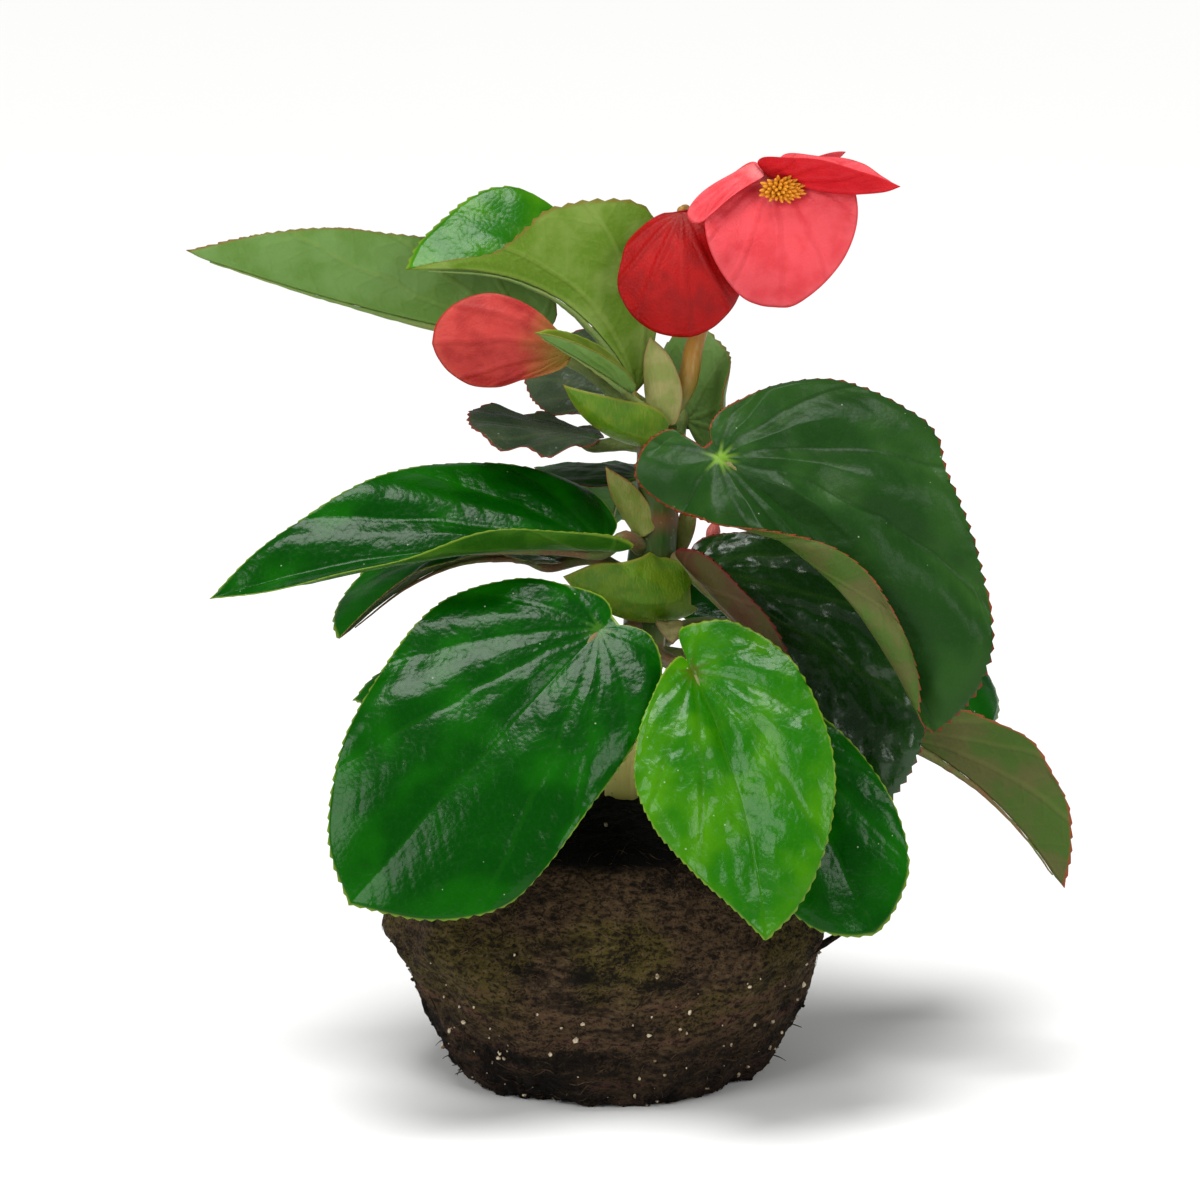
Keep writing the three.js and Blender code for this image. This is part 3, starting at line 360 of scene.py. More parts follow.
peat = Finish("peat", Roughness=0.95, Specular_IOR_Level=0.12)
height = peat.height()
bands = peat.noise(4, 4, (5, 5, 1))
fibres = peat.noise(1.1, 5, (2.2, 2.2, 1))
fine = peat.noise(0.7, 4, (1.3, 1.3, 1))
loose = peat.value("crumbly")
soil = peat.layers(
    PEAT_BROWN,
    (peat.noise(24, 2).between(0.44, 0.6) * height.between(14, 30) * 0.7, PEAT_OLIVE),
    (bands.between(0.5, 0.66) * height.between(34, 18), PEAT_RED),
    (bands.between(0.48, 0.36) * 0.6, PEAT_DARK),
    (fibres.between(0.52, 0.7) * 0.5, ROOT_TAN),
    (fibres.between(0.5, 0.36) * 0.8, PEAT_DARK),
    (height.between(24, 4) * 0.65, PEAT_DARK),
    (fine.between(0.48, 0.36) * 0.7, PEAT_BLACK),
    (fine.between(0.58, 0.74) * 0.4, ROOT_TAN),
    ((loose + fine * 2.4).between(1.6, 2.1) * 0.9, PEAT_BLACK),
    # The top of the ball is painted black above this height: painted shade under the leaves.
    (height.between(SHADED_SOIL_TOP - 1.5, SHADED_SOIL_TOP + 1.5), PEAT_BLACK),
)
peat.wear(soil, relief=fibres * 1.2 + fine * 1.2 + peat.grains(1.6) * loose)
root_ball = build("root_ball_peat", joined([ball, twig, crumbs]), [peat])
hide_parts("root_ball")

# Perlite
# Grains of puffed white rock that were mixed into the peat. They are pressed into the side of the
# ball, most of them low down, where the peat has washed off, and are dusted with peat.
PERLITE_COUNT, PERLITE_SIZES, PERLITE_LIFT = 260, (0.13, 0.75), 0.1
PERLITE_LOW, PERLITE_LOW_SPAN = 0.8, 0.3  # share of the grains that lie low, and how far up that goes
PERLITE_WHITE = (0.62, 0.52, 0.36)

low_shares = BALL_FOOT + PERLITE_LOW_SPAN * stream.beta(1.0, 1.6, PERLITE_COUNT)
high_shares = stream.uniform(0.25, BALL_TOP, PERLITE_COUNT)
perlite_shares = np.where(stream.random(PERLITE_COUNT) < PERLITE_LOW, low_shares, high_shares)
perlite_turns = stream.uniform(0, 2 * np.pi, PERLITE_COUNT)
perlite_spots, _ = ball_skin(perlite_turns, perlite_shares, PERLITE_LIFT)
perlite_sizes = np.exp(stream.uniform(*np.log(PERLITE_SIZES), PERLITE_COUNT))
perlite = Finish("perlite", Roughness=0.8, Specular_IOR_Level=0.3)
dusty = perlite.noise(1.5, 3).between(0.4, 0.65)
perlite.wear(perlite.layers(PERLITE_WHITE, (dusty, ROOT_TAN)), relief=perlite.noise(0.15, 2) * 0.1)
grains_piece = build("perlite_grains", scattered(perlite_spots, perlite_sizes, stream), [perlite])

# Fine roots
# Hair-thin roots that run round the side of the ball as the pot led them, dipping into the peat
# that holds them, and a few tips that have come away low down.
ROOT_COUNT, LOOSE_ROOT_COUNT = 1200, 60
ROOT_RADII = (0.06, 0.13)
ROOT_TURN = (0.03, 0.16)  # radians round the ball
ROOT_BAND = (0.22, 0.8)  # shares of the ball's profile
ROOT_STATIONS = 8
LOOSE_ROOT_BAND = (BALL_FOOT, 0.34)
LOOSE_ROOT_LENGTH = (1.5, 4)
LOOSE_ROOT_RADII = (0.16, 0.13, 0.07)


def fine_root(stream):
    """A short root that runs a few mm round the ball, waving up and down and dipping into it."""
    turn = stream.uniform(0, 2 * np.pi) + np.linspace(0, stream.uniform(*ROOT_TURN), ROOT_STATIONS)
    slant = np.linspace(-1, 1, ROOT_STATIONS)
    share = stream.uniform(*ROOT_BAND) + stream.uniform(-0.02, 0.02) * slant
    share = share + 0.004 * np.sin(turn * stream.uniform(20, 60) + stream.uniform(0, 6))
    lift = 0.05 + 0.15 * np.sin(turn * stream.uniform(15, 40) + stream.uniform(0, 6))
    path, _ = ball_skin(turn, np.clip(share, BALL_FOOT, BALL_TOP), lift)
    radius = stream.uniform(*ROOT_RADII)
    return tube(path, (0.4 * radius, radius, radius, 0.3 * radius), ROOT_STATIONS - 1, 4)


def loose_root(stream):
    """A root tip that has come away low on the ball and stands out from it, drooping."""
    turn = stream.uniform(0, 2 * np.pi)
    start, _ = ball_skin(np.array([turn]), np.array([stream.uniform(*LOOSE_ROOT_BAND)]), -0.5)
    out = np.array([np.cos(turn), np.sin(turn), stream.uniform(-0.4, 0.5)])
    side = np.array([-np.sin(turn), np.cos(turn), 0]) * stream.uniform(-1.5, 1.5)
    reach = np.linspace(0, stream.uniform(*LOOSE_ROOT_LENGTH), 6)[:, None]
    path = start + reach * out + side * (reach / 4) ** 2 * 2
    path[:, 2] = path[:, 2] - 0.06 * reach[:, 0] ** 2
    return tube(path, LOOSE_ROOT_RADII, 8, 4)


roots = [fine_root(stream) for _ in range(ROOT_COUNT)]
roots = joined(roots + [loose_root(stream) for _ in range(LOOSE_ROOT_COUNT)])
roots.points[:, 2] = np.maximum(roots.points[:, 2], 0)
root_skin = Finish("root_skin", Roughness=0.85, Specular_IOR_Level=0.15)
root_color = root_skin.layers(
    PEAT_DARK,
    (root_skin.noise(3, 3).between(0.42, 0.62), PEAT_BROWN),
    (root_skin.noise(5, 3).between(0.6, 0.7), ROOT_TAN),
)
root_skin.wear(root_color, relief=root_skin.noise(0.3, 2) * 0.1)
roots_piece = build("fine_roots", roots, [root_skin])

# Main stem
# One upright fleshy stem, swollen at each leaf joint, with pale dots in its skin. It is tan where
# it leaves the soil, green higher up and brownish red at the joints. It stands in the root ball.
STEM_PATH = [
    (4.3, 0, 44), (4.3, 0, 63), (6.2, -0.5, 82), (9.2, -0.5, 100), (10.8, 0, 116), (12, 1, 133),
    (12.2, 1.6, 149),
]
STEM_RADII = (4.1, 4.1, 4.3, 4.9, 5.6, 4.8, 4.4)
STEM_JOINTS = (86, 98, 114, 128, 145)  # heights in mm
JOINT_SWELL, JOINT_HEIGHT = 0.35, 1.6
STEM_STEPS, STEM_SIDES = 120, 48
STEM_TAN = (0.9, 0.8, 0.24)
STEM_GREEN = (0.016, 0.062, 0.003)
STEM_PALE = (0.2, 0.27, 0.06)
STEM_RED = (0.16, 0.06, 0.025)

heights = np.linspace(STEM_PATH[0][2], STEM_PATH[-1][2], STEM_STEPS + 1)
swell = sum(JOINT_SWELL * np.exp(-(((heights - joint) / JOINT_HEIGHT) ** 2)) for joint in STEM_JOINTS)
stem_radii = np.interp(heights, [point[2] for point in STEM_PATH], STEM_RADII) + swell
stem = tube(STEM_PATH, stem_radii, STEM_STEPS, STEM_SIDES)
stem.points[:, :2] += 0.12 * cloud(stem.points * (1, 1, 0.2), 1.6, 31)[:, None]

stem_skin = Finish("stem_skin", Specular_IOR_Level=0.25, Subsurface_Weight=0.08, Subsurface_Scale=0.002)
height = stem_skin.height()
streaks = stem_skin.noise(1.2, 3, (1, 1, 9))
dots = stem_skin.grains(2.2)
joint_rings = [
    (height.between(joint - 4, joint) * height.between(joint + 3, joint + 0.5) * 0.7, STEM_RED)
    for joint in STEM_JOINTS[1:]
]
color = stem_skin.layers(
    STEM_TAN,
    (height.between(78, 96), STEM_PALE),
    (height.between(94, 108), STEM_GREEN),
    *joint_rings,
    (stem_skin.noise(7, 2).between(0.45, 0.65) * 0.15, STEM_RED),
    (streaks.between(0.55, 0.7) * 0.15, STEM_PALE),
    (dots.between(0.14, 0.08) * 0.5, STEM_PALE),
)
stem_skin.wear(color, 0.32 + streaks * 0.25, streaks * 0.18 + dots.between(0.2, 0.05) * 0.06)
stem_piece = build("stem_with_joints", stem, [stem_skin])
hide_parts("main_stem")

# Leaves
# Lopsided, pointed blades on short fleshy stalks, each from its own joint of the stem. The flesh
# puffs up between veins that fan out from the stalk, the edge has fine teeth, and the upper face
# is glossy. The stalk grows out of the stem, and runs on below the blade as its middle vein.
LEAF_THICKNESS = 0.6
# The first spoke of a blade meets the edge at a share of the half edge. Spokes are a gap apart along
# the edge, and rings from the stalk outwards.
LEAF_SHEET = dict(first=0.0375, thickness=LEAF_THICKNESS, spoke_gap=0.9, ring_gap=1.6)
EDGE_THICKNESS, EDGE_WIDTH = 0.32, 5  # share of the thickness left at the edge, and mm to reach it
FEWEST_SPOKES, FEWEST_RINGS = 12, 8
TOOTH_DEPTH, TOOTH_SPOKES = 0.7, 3  # mm, and spokes from one tooth to the next
VEIN_ENDS = (0.15, 0.34, 0.55, 0.77)  # shares of the half edge at which main veins end
VEIN_WANDER, VEIN_WANDER_SIZE = 0.5, 6
VEIN_BRANCH_GAP = 5.2  # mm between side veins
PLEAT_HEIGHT, PLEAT_WIDTH, PLEAT_START = 1.1, 3.8, 14
CRINKLES = ((4.2, 0.6), (2.1, 0.45))  # sizes and how much of each
SWELL, SWELL_SIZE = 1.5, 15
PETIOLE_RADIUS, YOUNG_PETIOLE_RADIUS = 1.7, 1.1
PETIOLE_FOOT = 1.25  # times the radius, where it grows out of the stem
PETIOLE_STEPS, PETIOLE_SIDES = 70, 12
# The midrib below a blade: shares of its length, and its radius there in petiole radii.
RIDGE = [(0, 0.88), (0.1, 0.62), (0.22, 0.5), (0.36, 0.38), (0.5, 0.27), (0.7, 0.18), (0.93, 0.09)]
# Each leaf: the places of its stalk end, middle and tip, which way its face looks at both ends,
# and the outline of its two halves in lengths of the midrib. Fold is how steeply a half rises beside
# the midrib, and curl what it adds by the edge: degrees at the stalk and at the tip, for each half
# or for both. The edge ruffles by wave mm, in 4 waves a half or so many. Without up_tip the tip
# faces as the stalk end does, and without right the right half mirrors the left one.
LEAVES = {
    "leaf_upper_right": dict(
        at=(25.8, -24, 146), mid=(53.5, -35.5, 122), tip=(73.5, -36, 86),
        up=(0.1, -0.85, 0.5), up_tip=(-0.1, -0.95, 0.3),
        left=[
            (-0.07, 0.045), (-0.09, 0.09), (-0.08, 0.155), (-0.02, 0.28), (0.11, 0.41), (0.28, 0.47),
            (0.37, 0.47), (0.46, 0.41), (0.64, 0.345), (0.84, 0.255), (0.94, 0.15),
        ],
        right=[
            (-0.1, 0), (-0.17, 0.005), (-0.2, 0.08), (-0.17, 0.18), (-0.07, 0.2), (0.06, 0.18),
            (0.22, 0.2), (0.45, 0.2), (0.65, 0.17), (0.85, 0.1),
        ],
        fold=((4, 4), (8, 8)), curl=((-20, -15), (-50, 450)), wave=0.8,
        petiole=[(12, -2, 143), (17, -12, 142)],
    ),
    "leaf_front_left": dict(
        at=(-0.7, -30, 108.6), mid=(-27, -50, 84), tip=(-55.4, -60, 53.8),
        up=(-0.1, -0.85, 0.5), up_tip=(-0.1, -0.95, 0.3),
        left=[
            (-0.05, 0.04), (-0.07, 0.12), (0, 0.21), (0.15, 0.27), (0.38, 0.3), (0.6, 0.32), (0.76, 0.3),
            (0.9, 0.18),
        ],
        right=[
            (-0.06, 0.005), (-0.085, 0.06), (-0.05, 0.15), (0.02, 0.27), (0.16, 0.37), (0.34, 0.385),
            (0.55, 0.35), (0.75, 0.28), (0.92, 0.15),
        ],
        fold=(8, 6), curl=((-25, -25), (-25, -20)), wave=0.7, phase=1,
        petiole=[(8, -2, 104), (3, -18, 104)],
    ),
    "leaf_front_middle": dict(
        at=(19.7, -38, 101), mid=(30, -56, 76), tip=(35.2, -67, 47.5),
        up=(0, -0.85, 0.5), up_tip=(0, -0.98, 0.2),
        left=[
            (-0.16, 0.015), (-0.15, 0.1), (-0.08, 0.22), (0.1, 0.33), (0.3, 0.36), (0.5, 0.34),
            (0.7, 0.26), (0.88, 0.14),
        ],
        right=[
            (-0.07, 0.015), (-0.04, 0.08), (0.04, 0.17), (0.16, 0.27), (0.33, 0.34), (0.52, 0.32),
            (0.72, 0.22), (0.9, 0.08),
        ],
        fold=((28, 10), (30, 8)), curl=((-40, -15), (-45, -10)), wave=0.6, waves=5, phase=2,
        petiole=[(10, -2, 98), (16, -22, 99)],
    ),
    "leaf_middle_left": dict(
        at=(0, -12, 123.5), mid=(-44, -22, 124), tip=(-87.3, -26, 114.8),
        up=(-0.05, -0.55, 0.85), up_tip=(-0.1, -0.8, 0.6),
        left=[(-0.04, 0.04), (-0.05, 0.09), (0.05, 0.13), (0.25, 0.16), (0.5, 0.14), (0.75, 0.08)],
        right=[
            (-0.03, 0.04), (-0.05, 0.1), (0, 0.22), (0.15, 0.28), (0.38, 0.3), (0.58, 0.22), (0.8, 0.12),
        ],
        fold=((25, 25), (12, 10)), curl=((90, 40), (-30, -20)), wave=1.2, waves=3,
        petiole=[(10, -1, 120), (5, -8, 125)],
    ),
    "leaf_top_left": dict(
        at=(-16, 16, 166), mid=(-55, 12.5, 175), tip=(-94, 8, 188),
        up=(-0.2, 0, 1), up_tip=(-0.3, 0.1, 0.9),
        left=[(-0.05, 0.08), (-0.02, 0.16), (0.1, 0.22), (0.3, 0.24), (0.55, 0.22), (0.8, 0.13)],
        right=[(-0.05, 0.06), (-0.02, 0.12), (0.1, 0.17), (0.3, 0.21), (0.55, 0.21), (0.8, 0.13)],
        fold=((62, 68), (60, 66)), curl=(15, 10), wave=0.4, waves=3,
        petiole=[(11, 3, 148), (-4, 13.5, 160)],
    ),
    "leaf_top_middle": dict(
        at=(7.4, 2, 157), mid=(-12.3, -1, 180), tip=(-44.3, -2, 185),
        up=(0.5, 0.1, 0.8), up_tip=(0.1, 0.1, 0.98),
        left=[
            (0.02, 0.06), (0.11, 0.14), (0.22, 0.26), (0.32, 0.38), (0.4, 0.43), (0.49, 0.38),
            (0.56, 0.32), (0.62, 0.25), (0.67, 0.14), (0.74, 0.06), (0.86, 0.03),
        ],
        right=[
            (0.05, 0.08), (0.2, 0.18), (0.4, 0.28), (0.56, 0.34), (0.68, 0.37), (0.76, 0.35),
            (0.84, 0.28), (0.91, 0.18), (0.97, 0.09),
        ],
        fold=((90, 75), (56, 52)), curl=((10, 0), (0, 0)), wave=0.3, waves=3,
        petiole=[(12, 1, 149), (9.9, 1.6, 152.8)],
    ),
    "leaf_lower_right": dict(
        at=(36, -36, 84), mid=(48, -45, 67), tip=(60, -51, 44.5),
        up=(0, -0.9, 0.4), up_tip=(0.1, -0.98, 0.1),
        left=[
            (-0.08, 0.1), (-0.04, 0.24), (0.15, 0.32), (0.4, 0.35), (0.62, 0.34), (0.82, 0.27),
            (0.95, 0.12),
        ],
        right=[
            (-0.08, 0.1), (-0.04, 0.26), (0.15, 0.36), (0.4, 0.38), (0.65, 0.34), (0.86, 0.25),
            (0.96, 0.12),
        ],
        fold=(6, 6), curl=(-25, -15), wave=0.5, phase=1,
        petiole=[(7.5, -1, 88), (22, -20, 90)],
    ),
    "leaf_far_right": dict(
        at=(68, -6, 78.9), mid=(88.8, -7, 65), tip=(105.5, -8, 43.5),
        up=(0.8, 0.25, 0.55), up_tip=(0.95, 0.2, 0.3),
        left=[(0.02, 0.05), (0.15, 0.1), (0.35, 0.16), (0.55, 0.18), (0.75, 0.15), (0.9, 0.09)],
        right=[
            (0.02, 0.08), (0.08, 0.16), (0.17, 0.23), (0.31, 0.28), (0.48, 0.295), (0.64, 0.255),
            (0.77, 0.2), (0.89, 0.115),
        ],
        fold=(60, 60), curl=(10, 10), wave=0.4,
        petiole=[(9, 0, 97), (40, -1, 92)],
    ),
    "leaf_inner_right": dict(
        at=(20, -6, 117), mid=(46, -18, 90), tip=(63, -22, 65),
        up=(0.2, -0.8, 0.55), up_tip=(0.1, -0.95, 0.3),
        left=[
            (-0.06, 0.06), (-0.04, 0.16), (0.08, 0.3), (0.3, 0.42), (0.55, 0.4), (0.78, 0.29),
            (0.93, 0.13),
        ],
        right=[(-0.06, 0.05), (-0.05, 0.12), (0.08, 0.18), (0.3, 0.2), (0.55, 0.17), (0.8, 0.1)],
        fold=((5, 5), (50, 30)), curl=((-10, -10), (110, 60)), wave=1, waves=5,
        petiole=[(11, 0, 116), (16, -2, 119)],
    ),
    "leaf_under_left": dict(
        at=(-12, 2, 118), mid=(-36, 2, 117), tip=(-60.2, -6, 101),
        up=(-0.3, 0.15, 0.9), up_tip=(-0.75, -0.2, 0.55),
        left=[(-0.06, 0.08), (-0.03, 0.2), (0.12, 0.32), (0.35, 0.34), (0.6, 0.28), (0.82, 0.15)],
        right=[
            (-0.06, 0.08), (-0.03, 0.2), (0.12, 0.35), (0.35, 0.41), (0.6, 0.38), (0.82, 0.27),
            (0.95, 0.13),
        ],
        fold=(10, 20), curl=(-20, 0), wave=0.5, waves=3,
        petiole=[(9, 1, 112), (-2, 3, 118)],
    ),
    "leaf_thin_left": dict(
        at=(-2, 6, 145), mid=(-16, 7, 147.5), tip=(-31, 6, 149.5),
        up=(0, 0, 1), up_tip=(-0.1, -0.25, 0.95),
        left=[(-0.06, 0.12), (0, 0.3), (0.2, 0.48), (0.5, 0.5), (0.8, 0.42), (0.96, 0.24)],
        right=[(-0.06, 0.12), (0, 0.25), (0.2, 0.36), (0.5, 0.38), (0.8, 0.34), (0.96, 0.2)],
        fold=((15, 10), (10, 5)), curl=((-40, -30), (-20, -10)), wave=1.2,
        petiole=[(12, 2, 144), (5, 6, 144)],
    ),
    "leaf_back_left": dict(
        at=(3, 21, 152), mid=(-6, 32, 157.5), tip=(-16.5, 44, 158.5),
        up=(-0.2, -0.5, 0.8), up_tip=(-0.5, -0.2, 0.7),
        left=[(-0.06, 0.12), (0, 0.3), (0.2, 0.45), (0.5, 0.45), (0.8, 0.3)],
        right=[(-0.06, 0.12), (0, 0.28), (0.2, 0.42), (0.5, 0.42), (0.8, 0.28)],
        fold=(12, 10), curl=(-20, -20), wave=0.6, phase=1,
        petiole=[(12, 3, 143), (6, 14, 149)],
    ),
    "leaf_back_right": dict(
        at=(19, 14, 148), mid=(19, 17, 160), tip=(22, 21, 171),
        up=(0.6, 0.7, 0.2),
        left=[(-0.28, 0.12), (-0.26, 0.45), (0, 0.8), (0.32, 0.86), (0.6, 0.57), (0.82, 0.26)],
        right=[(-0.3, 0.15), (-0.28, 0.45), (0, 0.72), (0.35, 0.78), (0.65, 0.55), (0.86, 0.25)],
        fold=((35, 30), (20, 20)), curl=((-110, -90), (0, 0)), wave=0.5,
        petiole=[(12, 3, 142), (16, 11, 143)],
    ),
    "leaf_back_lower_left": dict(
        at=(-14, 15, 88), mid=(-36, 20, 86), tip=(-58.5, 24, 80),
        up=(-0.3, -0.1, 0.9), up_tip=(-0.6, -0.2, 0.7),
        left=[(-0.06, 0.1), (-0.02, 0.26), (0.15, 0.38), (0.4, 0.4), (0.65, 0.34), (0.86, 0.2)],
        fold=(10, 8), curl=(-20, -20), wave=0.8, phase=2,
        petiole=[(6.5, 1, 84), (-5, 11, 89)],
    ),
    "leaf_back_lower_right": dict(
        at=(34, 18, 100), mid=(66, 24, 96), tip=(90.7, 27, 70.4),
        up=(0.2, -0.3, 0.9), up_tip=(0.6, -0.4, 0.6),
        left=[
            (-0.18, 0.06), (-0.22, 0.2), (-0.1, 0.33), (0.15, 0.38), (0.4, 0.36), (0.62, 0.29),
            (0.78, 0.22), (0.9, 0.21), (0.97, 0.15),
        ],
        right=[
            (-0.12, 0.06), (-0.16, 0.18), (-0.06, 0.3), (0.15, 0.38), (0.4, 0.4), (0.65, 0.36),
            (0.84, 0.27), (0.96, 0.13),
        ],
        fold=(10, 8), curl=(-20, -20), wave=0.5,
        petiole=[(8.5, 1, 95), (20, 14, 100)],
    ),
    "leaf_back_middle": dict(
        at=(9, 28, 132), mid=(6, 52, 130), tip=(2, 76, 111),
        up=(-0.1, 0.2, 0.95), up_tip=(0, 0.7, 0.7),
        left=[(-0.06, 0.1), (-0.04, 0.24), (0.12, 0.38), (0.36, 0.42), (0.62, 0.36), (0.86, 0.2)],
        right=[(-0.06, 0.1), (-0.04, 0.24), (0.12, 0.36), (0.36, 0.38), (0.62, 0.32), (0.86, 0.18)],
        fold=(10, 8), curl=(-25, -20), wave=0.8, phase=1,
        petiole=[(11.5, 2, 126), (11, 17, 133)],
    ),
    "leaf_young": dict(
        at=(6.5, -4.5, 157.5), mid=(-3, -13.5, 165.5), tip=(-15, -20, 173.5),
        up=(0.4, -0.3, 0.9),
        left=[(0.1, 0.1), (0.4, 0.16), (0.7, 0.14), (0.9, 0.08)],
        fold=((50, 55), (50, 40)), curl=(10, 10),
        petiole=[(12, 0, 148.5), (10, -3, 153)],
    ),
}


class Blade:
    """The shape of a leaf, stipule or tepal. Its midrib is a quadratic Bezier curve through the
    middle point, and its two halves bend away from the midrib by fold and curl."""

    def __init__(self, form):
        left_out = dict(up_tip=form["up"], right=form["left"], wave=0, waves=4, phase=0)
        self.form = {**left_out, **form}
        self.start, middle, self.tip = (np.array(form[key], float) for key in ("at", "mid", "tip"))
        self.bend = 2 * middle - (self.start + self.tip) / 2
        steps = np.diff(self.midrib(np.linspace(0, 1, 41)[:, None]), axis=0)
        self.length = np.linalg.norm(steps, axis=1).sum()

    def midrib(self, share):
        """Places at shares s of the midrib: (1 - s)^2 start + 2 s (1 - s) bend + s^2 tip."""
        return (1 - share) ** 2 * self.start + 2 * share * (1 - share) * self.bend + share**2 * self.tip

    def frame(self, ahead):
        """Places on the midrib at shares of it, the way to its left and the way up. Before its
        start the midrib runs on straight backwards."""
        share = np.clip(ahead, 0, 1)[..., None]
        leaving, arriving = self.bend - self.start, self.tip - self.bend
        place = self.midrib(share) + np.minimum(ahead, 0)[..., None] * self.length * unit(leaving)
        forward = unit((1 - share) * leaving + share * arriving)
        up = unit(np.array(self.form["up"])) * (1 - share) + unit(np.array(self.form["up_tip"])) * share
        left = unit(np.cross(up, forward))
        return place, left, np.cross(forward, left)

    def below(self, ahead, depth):
        """A place under the midrib."""
        place, _, up = self.frame(np.array(ahead, float))
        return place - depth * up

    def outline(self, side):
        """The edge of a half from the stalk to the tip, in lengths of the midrib ahead and out."""
        return np.array([(0, 0), *self.form[side], (1, 0)])

    def bent(self, half, ahead, out, lift):
        """Places of the sheet: out mm from the midrib to its left (half 1) or right (half -1). A
        cross-section is an arc: sideways (sin(f + c out) - sin f) / c, and up (cos f - cos(f + c
        out)) / c, for a rise f at the midrib and a curl of c a mm."""
        place, left, up = self.frame(ahead)
        share = np.clip(ahead, 0, 1)
        sideways, rise = 0, 0
        for number, (side, sign) in enumerate((("left", 1), ("right", -1))):
            width = self.outline(side)[:, 1].max() * self.length
            halves = [np.broadcast_to(np.radians(self.form[key]), (2, 2)) for key in ("fold", "curl")]
            fold, curl = [pair[number, 0] * (1 - share) + pair[number, 1] * share for pair in halves]
            curl = np.where(np.abs(curl) < 1e-5, 1e-5, curl) / width  # a straight half divides too
            mine = half == sign
            sideways = np.where(mine, (np.sin(fold + curl * out) - np.sin(fold)) / curl, sideways)
            rise = np.where(mine, (np.cos(fold) - np.cos(fold + curl * out)) / curl, rise)
        return place + (half * sideways)[..., None] * left + (rise + lift)[..., None] * up

    def edge(self, first, gap):
        """Spokes from the stalk to the edge, about a gap apart there, left half first: the half
        that each is in, its share of the half edge, and its end in mm ahead and out."""
        steps = np.diff(self.outline("left"), axis=0)
        count = max(FEWEST_SPOKES, int(np.linalg.norm(steps, axis=1).sum() * self.length / gap))
        shares = np.linspace(first, 1, count)
        ends = [smooth_curve(self.outline(side), shares, run_on=0) for side in ("left", "right")]
        flat = np.concatenate([ends[0], ends[1][-2::-1]]) * self.length
        half = np.where(np.arange(len(flat)) < count, 1, -1)
        return half, np.concatenate([shares, shares[-2::-1]]), flat[:, 0], np.maximum(flat[:, 1], 0)

    def veins(self):
        """Flat points of the midrib and of main veins that leave the stalk sideways and arch ahead
        to the edge, each a quadratic Bezier curve."""
        t = np.linspace(0, 1, 9)[:, None]
        veins = [t * (self.length, 0)]
        for side, sign in (("left", 1), ("right", -1)):
            for end in smooth_curve(self.outline(side), VEIN_ENDS, run_on=0) * self.length * (1, sign):
                bend = 0.5 * end - 0.1 * np.linalg.norm(end) * np.array([1, 0])
                veins.append(2 * t * (1 - t) * bend + t**2 * end)
        return veins


def point_normals(points, faces):
    """For each point, the direction that the triangles round it face on the whole."""
    corners = points[faces]
    across = np.cross(corners[:, 1] - corners[:, 0], corners[:, 2] - corners[:, 0])
    total = np.zeros_like(points)
    for corner in range(3):
        np.add.at(total, faces[:, corner], across)
    return unit(total)


def nearest_vein(places, veins):
    """Distance in mm from flat places to the nearest of the veins, each a row of flat points."""
    nearest = np.full(places.shape[:-1], 1e9)
    for vein in veins:
        for start, end in zip(vein[:-1], vein[1:]):
            step = end - start
            share = np.clip((places - start) @ step / (step @ step), 0, 1)
            gap = np.linalg.norm(places - start - share[..., None] * step, axis=-1)
            nearest = np.minimum(nearest, gap)
    return nearest


def teeth(length, depth, seed):
    """How far each spoke's end is drawn in, as a share of its length: nothing at the points of the
    teeth and up to depth mm before them, so that a tooth slopes slowly ahead and ends steeply."""
    number = np.arange(len(length))
    notch = (number % TOOTH_SPOKES) / (TOOTH_SPOKES - 1)
    uneven = np.random.default_rng(seed).uniform(0.4, 1, len(length))[number // TOOTH_SPOKES]
    return depth * notch * uneven / np.maximum(length, 3 * depth + 1)


def puckers(flat, run, rib, rim, pleat, crinkle, seed):
    """Rises of the flesh in mm, all less beside the stalk and the edge: pleats of pleat mm times
    0.45 - exp(-(rib / width)^2) between main veins, crinkles of random clouds away from the veins,
    and a slow random swell away from the midrib."""
    calm = np.clip(run / PLEAT_START, 0, 1) * np.clip(rim / 3, 0.15, 1)
    spot = np.concatenate([flat, np.full_like(flat[..., :1], 7 * seed)], -1)
    rough = sum(much * cloud(spot, size, seed + k) for k, (size, much) in enumerate(CRINKLES))
    swell = SWELL * cloud(spot, SWELL_SIZE, seed + 2) * np.clip(np.abs(flat[..., 1]) / 5, 0, 1)
    pleats = pleat * (0.45 - np.exp(-((rib / PLEAT_WIDTH) ** 2)))
    return calm * (pleats + crinkle * rough * np.clip(rib / 1.5, 0.2, 1) + pleat * swell)


